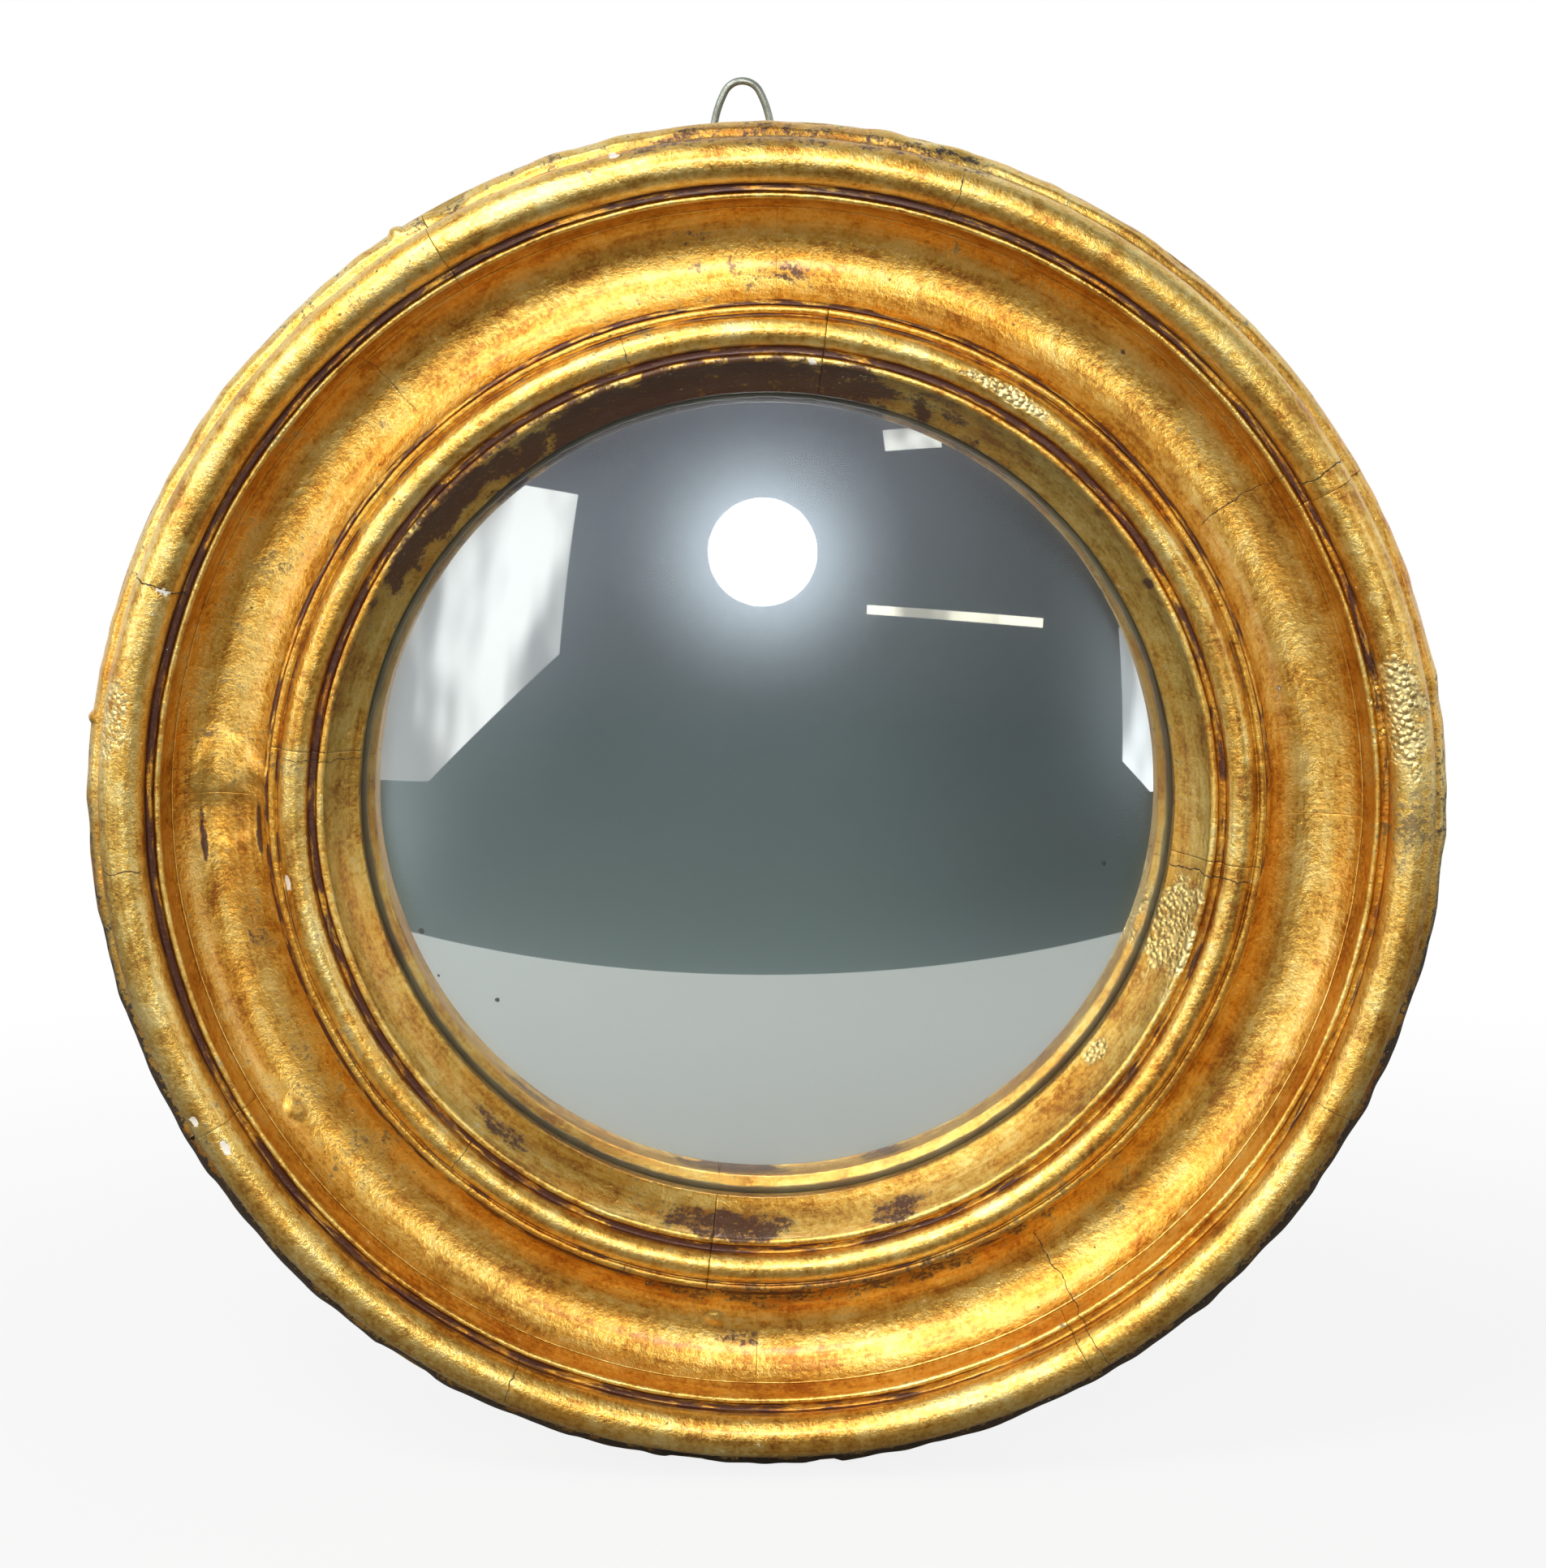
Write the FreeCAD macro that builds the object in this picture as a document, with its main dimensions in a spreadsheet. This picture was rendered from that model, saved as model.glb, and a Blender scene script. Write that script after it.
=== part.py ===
import FreeCAD, Part
import math
import os
import re
from collections import namedtuple

import Sketcher

# A round turned frame round a convex glass. The front of the mirror faces -Y, +Z is up, and the origin is the
# centre of the frame's flat back. A "height" is a distance in front of that back, and a "width" is one across the
# moulding. The glass is bought to size, so the mouldings are set out from its radius outwards. Angles round the
# frame run clockwise from the top, as seen from the front.

SIZES = {
    # glass and what holds it
    "glass_radius": 108.4,
    "glass_curve": 340.0,
    "glass_thickness": 2.0,
    "board_thickness": 3.0,
    "brad_radius": 0.6,
    "brad_length": 12.0,
    "brad_tip": 1.8,
    "brad_grip": 6.0,
    "brads_per_quarter": 3,
    "pin_radius": 0.7,
    "pin_length": 14.0,
    "pin_tip": 2.1,
    "pins_per_quarter": 2,
    # slip: rebate, sloping sight edge, fillet, quirk, small bead, shoulder and flange
    "rebate_gap": 0.4,
    "rebate_height": 8.0,
    "sight_lap": 2.4,
    "sight_height": 12.5,
    "slope_width": 8.5,
    "slope_top": 24.4,
    "slope_curve": 40.0,
    "slip_fillet_width": 1.9,
    "slip_fillet_height": 25.0,
    "slip_quirk_width": 2.2,
    "slip_quirk_floor": 23.5,
    "slip_bead_radius": 3.8,
    "slip_bead_centre": 24.4,
    "slip_bead_groove": 0.7,
    "shoulder_width": 1.85,
    "shoulder_height": 25.2,
    "shoulder_round": 0.8,
    "flange_width": 5.25,
    "flange_thickness": 8.0,
    # back ring: the floor of the wide cove and the side wall
    "layer_height": 24.0,
    "cove_ledge": 0.57,
    "cove_inner_height": 22.5,
    "cove_centre": 32.1,
    "cove_radius": 15.0,
    "side_inset": 3.5,
    "side_taper": 3.5,
    # front ring: fillet, quirk, large bead and lip
    "fillet_width": 1.61,
    "fillet_height": 31.0,
    "fillet_drop": 0.7,
    "quirk_width": 2.25,
    "quirk_floor": 29.6,
    "bead_radius": 5.85,
    "bead_centre": 32.0,
    "lip_width": 3.84,
    "lip_edge": 2.0,
    "lip_rise": 3.2,
    "lip_curve": 5.0,
    "lip_quirk": 1.0,
    # hanger
    "hanger_offset": -6.3,
    "hinge_inset": 11.0,
    "wire_radius": 0.97,
    "ring_height": 28.0,
    "ring_top_radius": 5.05,
    "ring_top_angle": 62.0,
    "ring_side_radius": 26.0,
    "ring_leg_angle": 10.0,
    "ring_corner_radius": 3.0,
    "ring_lean_angle": 3.0,
    "strap_width": 10.0,
    "strap_thickness": 0.7,
    "strap_length": 19.0,
    "strap_cheek": 0.5,
    "strap_pinch": 4.5,
    "screw_drop": 8.5,
    "screw_spacing": 6.5,
    "screw_radius": 1.25,
    "screw_length": 11.0,
    "screw_tip": 3.75,
    "screw_head_radius": 2.4,
    "screw_head_rise": 1.5,
    # joints round the frame, and clearances
    "front_joint_angle": 60.0,
    "back_joint_angle": 1.0,
    "slip_joint_angle": 7.0,
    "seam_gap": 0.15,
    "seat_gap": 0.05,
    "hole_gap": 0.04,
    "hinge_gap": 0.08,
}
QUARTER = 90
QUARTERS = 4

doc = FreeCAD.newDocument("convex_mirror")
sheet = doc.addObject("Spreadsheet::Sheet", "Sizes")
for row, (alias, number) in enumerate(SIZES.items(), start=1):
    sheet.set(f"A{row}", alias)
    sheet.set(f"B{row}", str(number))
    sheet.setAlias(f"B{row}", alias)
doc.recompute()

PIECES = []


# ------------------------------------------------------------------ expressions

def sized(text):
    """The expression `text` with each size's name pointed at the sheet."""
    return re.sub(r"[a-z_]+", lambda word: f"<<Sizes>>.{word[0]}" if word[0] in SIZES else word[0], text)


def value(text):
    """The number that the expression `text` gives now."""
    return float(sheet.evalExpression(sized(text)))


def half_width(centre, radius, height):
    """Half the width, at `height`, of a round moulding with that radius and with its centre at that height."""
    return f"sqrt({radius}^2 - ({centre} - {height})^2)"


# ------------------------------------------------------------------ bodies and sketches

Corner = namedtuple("Corner", "radius height curve")
Corner.__new__.__defaults__ = (None,)
Curve = namedtuple("Curve", "radius side")


def origin_feature(body, role):
    return next(f for f in body.Origin.OriginFeatures if f.Role == role)


def new_body(label):
    body = doc.addObject("PartDesign::Body", label)
    body.Label = label
    PIECES.append(body)
    return body


def new_sketch(body, name, role):
    sketch = body.newObject("Sketcher::SketchObject", name)
    sketch.AttachmentSupport = (origin_feature(body, role), "")
    sketch.MapMode = "FlatFace"
    return sketch


def pin_point(sketch, geometry, end, x_text, y_text):
    """Hold one point of a sketch at expressions for its two coordinates."""
    for kind, axis, text in (("DistanceX", -2, x_text), ("DistanceY", -1, y_text)):
        number = value(text)
        if text == "0":
            sketch.addConstraint(Sketcher.Constraint("PointOnObject", geometry, end, axis))
            continue
        if number > 0:
            ends, text = (-1, 1, geometry, end), text
        else:
            ends, text = (geometry, end, -1, 1), f"-({text})"
        index = sketch.addConstraint(Sketcher.Constraint(kind, *ends, abs(number)))
        sketch.setExpression(f"Constraints[{index}]", sized(text))


def arc_between(start, end, curve):
    """An arc from one sketch point to the next, bulging to the left (side 1) or the right (side -1)."""
    radius = value(curve.radius)
    chord = end - start
    reach = math.sqrt(radius ** 2 - (chord.Length / 2) ** 2)
    bulge = FreeCAD.Vector(-chord.y, chord.x, 0).normalize() * curve.side
    far = (start + end) * 0.5 + bulge * (radius - reach)
    return Part.Arc(start, far, end)


def outline(sketch, points):
    """Draw the closed outline through `points`, each (x expression, y expression, curve to the next one)."""
    places = [FreeCAD.Vector(value(x), value(y), 0) for x, y, _ in points]
    count = len(points)
    first = sketch.GeometryCount
    for i, (_, _, curve) in enumerate(points):
        start, end = places[i], places[(i + 1) % count]
        piece = Part.LineSegment(start, end) if curve is None else arc_between(start, end, curve)
        sketch.addGeometry(piece, False)
    # a sketch counts an arc's ends anticlockwise, so they may be swapped
    ends = []
    for i, (start, end) in enumerate(zip(places, places[1:] + places[:1])):
        first_end = sketch.getPoint(first + i, 1)
        ends.append((1, 2) if (first_end - start).Length < (first_end - end).Length else (2, 1))
    for i, (x_text, y_text, curve) in enumerate(points):
        follower = (i + 1) % count
        join = Sketcher.Constraint("Coincident", first + i, ends[i][1], first + follower, ends[follower][0])
        sketch.addConstraint(join)
        pin_point(sketch, first + i, ends[i][0], x_text, y_text)
        if curve is not None:
            index = sketch.addConstraint(Sketcher.Constraint("Radius", first + i, value(curve.radius)))
            sketch.setExpression(f"Constraints[{index}]", sized(curve.radius))


def turn(body, name, corners, angle=360):
    """Turn a section, given as corners of radius and height, round the mirror's axis."""
    sketch = new_sketch(body, f"{name}_section", "YZ_Plane")
    outline(sketch, [("0" if c.height == "0" else f"-({c.height})", c.radius, c.curve) for c in corners])
    turned = body.newObject("PartDesign::Revolution", name)
    turned.Profile = sketch
    turned.ReferenceAxis = (sketch, ["H_Axis"])
    turned.Angle = angle
    body.Tip = turned
    doc.recompute()


def drill(body, name, radius, length, base, rotation):
    """Drill a round hole from `base` along the turned Z axis."""
    hole = body.newObject("PartDesign::SubtractiveCylinder", name)
    hole.AttachmentSupport = (origin_feature(body, "XY_Plane"), "")
    hole.MapMode = "FlatFace"
    hole.AttachmentOffset = FreeCAD.Placement(FreeCAD.Vector(), rotation)
    hole.setExpression("Radius", sized(radius))
    hole.setExpression("Height", sized(length))
    for axis, text in zip("xyz", base):
        if text != "0":
            hole.setExpression(f"AttachmentOffset.Base.{axis}", sized(text))
    body.Tip = hole
    doc.recompute()
    return hole


def repeat_round(body, feature, step, count):
    """Repeat a feature round the mirror's axis, `step` degrees apart."""
    doc.recompute()
    ring = body.newObject("PartDesign::PolarPattern", f"{feature.Name}_ring")
    ring.Originals = [feature]
    ring.Axis = (origin_feature(body, "Y_Axis"), [""])
    ring.setExpression("Angle", sized(f"{step} * ({count} - 1)"))
    ring.setExpression("Occurrences", sized(count))
    body.Tip = ring
    doc.recompute()


def turned_to(body, start):
    """Turn a finished body round the mirror's axis, clockwise from the top."""
    body.Placement = FreeCAD.Placement(FreeCAD.Vector(), FreeCAD.Rotation(FreeCAD.Vector(0, 1, 0), 0))
    body.setExpression("Placement.Rotation.Angle", sized(f"({start}) * 1deg"))
    body.setExpression("Placement.Rotation.Axis.y", "1")


# ------------------------------------------------------------------ sizes that follow from others

# radii, from the glass outwards
REBATE_RADIUS = "(glass_radius + rebate_gap)"
SIGHT_RADIUS = "(glass_radius - sight_lap)"
SLOPE_OUTSIDE = f"({SIGHT_RADIUS} + slope_width)"
SLIP_FILLET_OUTSIDE = f"({SLOPE_OUTSIDE} + slip_fillet_width)"
SLIP_QUIRK_OUTSIDE = f"({SLIP_FILLET_OUTSIDE} + slip_quirk_width)"
SLIP_BEAD_CIRCLE = f"({SLIP_QUIRK_OUTSIDE} + slip_bead_radius)"
SLIP_BEAD_OUTSIDE = f"({SLIP_BEAD_CIRCLE} + slip_bead_radius)"
SHOULDER_INSIDE = f"({SLIP_BEAD_OUTSIDE} + slip_bead_groove)"
SLIP_OUTSIDE = f"({SHOULDER_INSIDE} + shoulder_width)"
PIN_CIRCLE = f"({SLIP_OUTSIDE} + flange_width / 2)"
FLANGE_OUTSIDE = f"({SLIP_OUTSIDE} + flange_width)"
FLANGE_BORE = f"({FLANGE_OUTSIDE} + seam_gap)"
RING_BORE = f"({SLIP_OUTSIDE} + seam_gap)"
COVE_START = "(fillet_height - fillet_drop)"
COVE_INSIDE = f"({RING_BORE} + cove_ledge)"
COVE_CIRCLE = f"({COVE_INSIDE} + {half_width('cove_centre', 'cove_radius', 'cove_inner_height')})"
COVE_AT_LAYER = f"({COVE_CIRCLE} + {half_width('cove_centre', 'cove_radius', 'layer_height')})"
COVE_OUTSIDE = f"({COVE_CIRCLE} + {half_width('cove_centre', 'cove_radius', COVE_START)})"
FILLET_OUTSIDE = f"({COVE_OUTSIDE} + fillet_width)"
QUIRK_OUTSIDE = f"({FILLET_OUTSIDE} + quirk_width)"
BEAD_CIRCLE = f"({QUIRK_OUTSIDE} + bead_radius)"
LIP_CREST = "(layer_height + lip_edge + lip_rise)"
BEAD_FOOT = f"({LIP_CREST} + lip_quirk)"
LIP_INSIDE = f"({BEAD_CIRCLE} + {half_width('bead_centre', 'bead_radius', BEAD_FOOT)})"
FRAME_OUTSIDE = f"({LIP_INSIDE} + lip_width)"
SIDE_AT_LAYER = f"({FRAME_OUTSIDE} - side_inset)"
SIDE_AT_BACK = f"({SIDE_AT_LAYER} - side_taper)"
HINGE_RADIUS = f"({SIDE_AT_BACK} - hinge_inset)"

# heights of what lies behind the sight edge
GLASS_CENTRE = f"(rebate_height - seat_gap - sqrt(glass_curve^2 - {SIGHT_RADIUS}^2))"
GLASS_RIM_BACK = f"({GLASS_CENTRE} + sqrt((glass_curve - glass_thickness)^2 - glass_radius^2))"
BOARD_FRONT = f"({GLASS_RIM_BACK} - seat_gap)"
BOARD_BACK = f"({BOARD_FRONT} - board_thickness)"
BRAD_HEIGHT = f"({BOARD_BACK} - brad_radius - seat_gap)"
BRAD_END = f"({REBATE_RADIUS} + brad_grip)"
BRAD_STEP = f"({QUARTER} / brads_per_quarter)"
PIN_STEP = f"({QUARTER} / pins_per_quarter)"

# hanger
EYE_RADIUS = "(wire_radius + hinge_gap)"
EYE_OUTSIDE = f"({EYE_RADIUS} + strap_thickness)"
STRAP_FRONT = "(2 * strap_thickness)"
SCREW_HEAD_CURVE = "(screw_head_radius^2 + screw_head_rise^2) / (2 * screw_head_rise)"
INTO_FRAME = FreeCAD.Rotation(FreeCAD.Vector(1, 0, 0), 90)


# ------------------------------------------------------------------ the frame's three turned rings

def front_ring(label, start):
    """A quarter of the front layer: the top of the cove, fillet, quirk, large bead and lip."""
    body = new_body(label)
    turn(body, f"{label}_turning", [
        Corner(COVE_AT_LAYER, "layer_height"),
        Corner(FRAME_OUTSIDE, "layer_height"),
        Corner(FRAME_OUTSIDE, "layer_height + lip_edge", Curve("lip_curve", -1)),
        Corner(LIP_INSIDE, LIP_CREST),
        Corner(LIP_INSIDE, BEAD_FOOT, Curve("bead_radius", -1)),
        Corner(BEAD_CIRCLE, "bead_centre + bead_radius", Curve("bead_radius", -1)),
        Corner(QUIRK_OUTSIDE, "bead_centre"),
        Corner(QUIRK_OUTSIDE, "quirk_floor"),
        Corner(FILLET_OUTSIDE, "quirk_floor"),
        Corner(FILLET_OUTSIDE, "fillet_height"),
        Corner(COVE_OUTSIDE, "fillet_height"),
        Corner(COVE_OUTSIDE, COVE_START, Curve("cove_radius", 1)),
    ], QUARTER)
    turned_to(body, start)


def back_ring(label, start, carries_hanger):
    """A quarter of the back layer: the floor of the cove, the side wall and the rebate for the slip's flange."""
    body = new_body(label)
    turn(body, f"{label}_turning", [
        Corner(FLANGE_BORE, "0"),
        Corner(SIDE_AT_BACK, "0"),
        Corner(SIDE_AT_LAYER, "layer_height"),
        Corner(COVE_AT_LAYER, "layer_height", Curve("cove_radius", 1)),
        Corner(COVE_INSIDE, "cove_inner_height"),
        Corner(RING_BORE, "cove_inner_height"),
        Corner(RING_BORE, "flange_thickness + seat_gap"),
        Corner(FLANGE_BORE, "flange_thickness + seat_gap"),
    ], QUARTER)
    drill_for_pins(body, label, "slip_joint_angle - back_joint_angle")
    if carries_hanger:
        drill_for_screws(body, label)
    turned_to(body, start)


def slip(label, start):
    """A quarter of the slip: rebate, sloping sight edge, fillet, quirk, small bead, shoulder and flange."""
    body = new_body(label)
    turn(body, f"{label}_turning", [
        Corner(REBATE_RADIUS, "0"),
        Corner(FLANGE_OUTSIDE, "0"),
        Corner(FLANGE_OUTSIDE, "flange_thickness"),
        Corner(SLIP_OUTSIDE, "flange_thickness"),
        Corner(SLIP_OUTSIDE, "shoulder_height - shoulder_round", Curve("shoulder_round", -1)),
        Corner(f"{SLIP_OUTSIDE} - shoulder_round", "shoulder_height"),
        Corner(SHOULDER_INSIDE, "shoulder_height"),
        Corner(SHOULDER_INSIDE, "slip_bead_centre"),
        Corner(SLIP_BEAD_OUTSIDE, "slip_bead_centre", Curve("slip_bead_radius", -1)),
        Corner(SLIP_BEAD_CIRCLE, "slip_bead_centre + slip_bead_radius", Curve("slip_bead_radius", -1)),
        Corner(SLIP_QUIRK_OUTSIDE, "slip_bead_centre"),
        Corner(SLIP_QUIRK_OUTSIDE, "slip_quirk_floor"),
        Corner(SLIP_FILLET_OUTSIDE, "slip_quirk_floor"),
        Corner(SLIP_FILLET_OUTSIDE, "slip_fillet_height"),
        Corner(SLOPE_OUTSIDE, "slip_fillet_height"),
        Corner(SLOPE_OUTSIDE, "slope_top", Curve("slope_curve", 1)),
        Corner(SIGHT_RADIUS, "sight_height"),
        Corner(SIGHT_RADIUS, "rebate_height"),
        Corner(REBATE_RADIUS, "rebate_height"),
    ], QUARTER)
    drill_for_pins(body, label, "0")
    outwards = FreeCAD.Rotation(FreeCAD.Vector(0, 1, 0), value(BRAD_STEP) / 2)
    hole = drill(body, f"{label}_brad_hole", "brad_radius + hole_gap", f"{BRAD_END} + hole_gap",
                 ("0", f"-{BRAD_HEIGHT}", "0"), outwards)
    repeat_round(body, hole, BRAD_STEP, "brads_per_quarter")
    turned_to(body, start)


def drill_for_pins(body, label, turned_by):
    """Drill a quarter ring for its share of the slip pins, which are spaced evenly from the slip's joints."""
    at = f"({turned_by} + {PIN_STEP} / 2) * 1deg"
    hole = drill(body, f"{label}_pin_hole", "pin_radius + hole_gap", "pin_length + hole_gap",
                 (f"{PIN_CIRCLE} * sin({at})", "0", f"{PIN_CIRCLE} * cos({at})"), INTO_FRAME)
    repeat_round(body, hole, PIN_STEP, "pins_per_quarter")


def drill_for_screws(body, label):
    """Drill the quarter ring that carries the hanger for its two screws."""
    turned_by = f"(back_joint_angle - {QUARTER}) * 1deg"
    for number, below in enumerate(("screw_drop", "screw_drop + screw_spacing"), start=1):
        up = f"({HINGE_RADIUS} - ({below}))"
        x = f"hanger_offset * cos({turned_by}) - {up} * sin({turned_by})"
        z = f"hanger_offset * sin({turned_by}) + {up} * cos({turned_by})"
        drill(body, f"{label}_screw_hole_{number}", "screw_radius + hole_gap", "screw_length",
              (x, "0", z), INTO_FRAME)


# ------------------------------------------------------------------ glass, backboard, brads and pins

def convex_glass():
    """The bulging glass: its two faces share one centre, and its edge is ground to a cylinder."""
    back = doc.addObject("Part::Sphere", "glass_back_sphere")
    front = doc.addObject("Part::Sphere", "glass_front_sphere")
    edge = doc.addObject("Part::Cylinder", "glass_edge")
    for sphere, radius in ((front, "glass_curve"), (back, "glass_curve - glass_thickness")):
        sphere.setExpression("Radius", sized(radius))
        sphere.setExpression("Placement.Base.y", sized(f"-{GLASS_CENTRE}"))
    edge.setExpression("Radius", sized("glass_radius"))
    edge.setExpression("Height", sized("glass_curve"))
    edge.Placement = FreeCAD.Placement(FreeCAD.Vector(), INTO_FRAME)
    disc = doc.addObject("Part::Common", "glass_disc")
    disc.Base, disc.Tool = front, edge
    glass = doc.addObject("Part::Cut", "convex_glass")
    glass.Base, glass.Tool = disc, back
    PIECES.append(glass)


def backboard():
    """The thin round board behind the glass."""
    body = new_body("backboard")
    turn(body, "board_disc", [
        Corner("0", BOARD_BACK),
        Corner("glass_radius", BOARD_BACK),
        Corner("glass_radius", BOARD_FRONT),
        Corner("0", BOARD_FRONT),
    ])


Nail = namedtuple("Nail", "radius length tip")


def nails(label, nail, height, circle, heading, step, per_quarter):
    """A ring of headless nails, straight shanks with conical points, that start on a circle round the axis."""
    body = new_body(label)
    body.AllowCompound = True
    sketch = new_sketch(body, f"{label}_section", "YZ_Plane")
    turned = FreeCAD.Rotation(FreeCAD.Vector(0, 0, 1), heading)
    sketch.AttachmentOffset = FreeCAD.Placement(FreeCAD.Vector(), turned)
    sketch.setExpression("AttachmentOffset.Base.x", sized(f"-{height}"))
    sketch.setExpression("AttachmentOffset.Base.y", sized(circle))
    outline(sketch, [
        ("0", "0", None),
        (nail.length, "0", None),
        (f"{nail.length} - {nail.tip}", nail.radius, None),
        ("0", nail.radius, None),
    ])
    shank = body.newObject("PartDesign::Revolution", f"{label}_shank")
    shank.Profile = sketch
    shank.ReferenceAxis = (sketch, ["H_Axis"])
    body.Tip = shank
    repeat_round(body, shank, step, f"{QUARTERS} * {per_quarter}")
    turned_to(body, f"slip_joint_angle + {step} / 2")


# ------------------------------------------------------------------ hanger

def hanger_strap():
    """A strip of sheet folded over the ring's wire, its two leaves pinched together on the frame's back."""
    body = new_body("hanger_strap")
    sketch = new_sketch(body, "strap_side", "YZ_Plane")
    outline(sketch, [
        ("0", "-strap_length", None),
        (STRAP_FRONT, "-strap_length", None),
        (STRAP_FRONT, "-strap_pinch", None),
        (f"2 * {EYE_OUTSIDE}", "-strap_cheek", None),
        (f"2 * {EYE_OUTSIDE}", "0", Curve(EYE_OUTSIDE, -1)),
        (EYE_OUTSIDE, EYE_OUTSIDE, Curve(EYE_OUTSIDE, -1)),
        ("0", "0", None),
    ])
    outline(sketch, [
        ("strap_thickness", "0", Curve(EYE_RADIUS, 1)),
        (EYE_OUTSIDE, EYE_RADIUS, Curve(EYE_RADIUS, 1)),
        (f"{EYE_OUTSIDE} + {EYE_RADIUS}", "0", None),
        (f"{EYE_OUTSIDE} + {EYE_RADIUS}", "-strap_cheek", None),
        ("strap_thickness", "-strap_pinch", None),
    ])
    strap = body.newObject("PartDesign::Pad", "strap_leaves")
    strap.Profile = sketch
    strap.Midplane = True
    strap.setExpression("Length", sized("strap_width"))
    body.Tip = strap
    doc.recompute()
    through = FreeCAD.Rotation(FreeCAD.Vector(1, 0, 0), -90)
    for number, below in enumerate(("screw_drop", "screw_drop + screw_spacing"), start=1):
        drill(body, f"strap_hole_{number}", "screw_radius + hole_gap", STRAP_FRONT,
              ("0", "0", f"-({below})"), through)
    body.setExpression("Placement.Base.x", sized("hanger_offset"))
    body.setExpression("Placement.Base.z", sized(HINGE_RADIUS))


def hanger_screws():
    """The two round-headed screws of the strap."""
    body = new_body("hanger_screws")
    body.AllowCompound = True
    sketch = new_sketch(body, "screw_section", "YZ_Plane")
    outline(sketch, [
        (f"{STRAP_FRONT} + screw_head_rise", "0", None),
        ("-screw_length + hole_gap", "0", None),
        ("-screw_length + screw_tip", "screw_radius", None),
        (STRAP_FRONT, "screw_radius", None),
        (STRAP_FRONT, "screw_head_radius", Curve(SCREW_HEAD_CURVE, 1)),
    ])
    screw = body.newObject("PartDesign::Revolution", "screw")
    screw.Profile = sketch
    screw.ReferenceAxis = (sketch, ["H_Axis"])
    body.Tip = screw
    doc.recompute()
    row = body.newObject("PartDesign::LinearPattern", "screw_row")
    row.Originals = [screw]
    row.Direction = (origin_feature(body, "Z_Axis"), [""])
    row.Reversed = True
    row.Occurrences = 2
    row.setExpression("Length", sized("screw_spacing"))
    body.Tip = row
    doc.recompute()
    body.setExpression("Placement.Base.x", sized("hanger_offset"))
    body.setExpression("Placement.Base.z", sized(f"{HINGE_RADIUS} - screw_drop"))


def hanging_ring():
    """The bent wire ring: a round top, legs that open downwards and a straight foot in the strap's eye."""
    body = new_body("hanging_ring")
    sweep, leg = "(ring_top_angle * 1deg)", "(ring_leg_angle * 1deg)"
    top_x = f"(ring_top_radius * sin{sweep})"
    top_z = f"(ring_height - ring_top_radius * (1 - cos{sweep}))"
    side_x = f"({top_x} + ring_side_radius * (cos{leg} - sin{sweep}))"
    side_z = f"({top_z} + ring_side_radius * (sin{leg} - cos{sweep}))"
    leg_z = f"(ring_corner_radius * (1 + sin{leg}))"
    leg_x = f"({side_x} + ({side_z} - {leg_z}) * tan{leg})"
    foot_x = f"({leg_x} - ring_corner_radius * cos{leg})"
    spine = new_sketch(body, "ring_line", "XZ_Plane")
    outline(spine, [
        (f"-{top_x}", top_z, Curve("ring_top_radius", 1)),
        (top_x, top_z, Curve("ring_side_radius", 1)),
        (side_x, side_z, None),
        (leg_x, leg_z, Curve("ring_corner_radius", 1)),
        (foot_x, "0", None),
        (f"-{foot_x}", "0", Curve("ring_corner_radius", 1)),
        (f"-{leg_x}", leg_z, None),
        (f"-{side_x}", side_z, Curve("ring_side_radius", 1)),
    ])
    wire = new_sketch(body, "wire_section", "YZ_Plane")
    wire.addGeometry(Part.Circle(FreeCAD.Vector(), FreeCAD.Vector(0, 0, 1), value("wire_radius")), False)
    wire.addConstraint(Sketcher.Constraint("Coincident", 0, 3, -1, 1))
    size = wire.addConstraint(Sketcher.Constraint("Radius", 0, value("wire_radius")))
    wire.setExpression(f"Constraints[{size}]", sized("wire_radius"))
    pipe = body.newObject("PartDesign::AdditivePipe", "ring_wire")
    pipe.Profile = wire
    pipe.Spine = (spine, [f"Edge{number + 1}" for number in range(spine.GeometryCount)])
    body.Tip = pipe
    doc.recompute()
    body.Placement = FreeCAD.Placement(FreeCAD.Vector(), FreeCAD.Rotation(FreeCAD.Vector(1, 0, 0), 0))
    body.setExpression("Placement.Rotation.Angle", sized("ring_lean_angle * 1deg"))
    body.setExpression("Placement.Rotation.Axis.x", "1")
    body.setExpression("Placement.Base.x", sized("hanger_offset"))
    body.setExpression("Placement.Base.y", sized(EYE_OUTSIDE))
    body.setExpression("Placement.Base.z", sized(HINGE_RADIUS))


# ------------------------------------------------------------------ the whole mirror

for step, place in enumerate(("right", "bottom", "left", "top")):
    front_ring(f"front_ring_{place}", f"front_joint_angle + {step * QUARTER}")
for step, place in enumerate(("upper_right", "lower_right", "lower_left", "upper_left")):
    back_ring(f"back_ring_{place}", f"back_joint_angle + {step * QUARTER}", place == "upper_left")
    slip(f"slip_{place}", f"slip_joint_angle + {step * QUARTER}")
convex_glass()
backboard()
nails("board_brads", Nail("brad_radius", "brad_length", "brad_tip"), BRAD_HEIGHT, f"({BRAD_END} - brad_length)",
      90, BRAD_STEP, "brads_per_quarter")
nails("slip_pins", Nail("pin_radius", "pin_length", "pin_tip"), "0", PIN_CIRCLE, 180, PIN_STEP, "pins_per_quarter")
hanger_strap()
hanger_screws()
hanging_ring()
doc.recompute()

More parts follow.
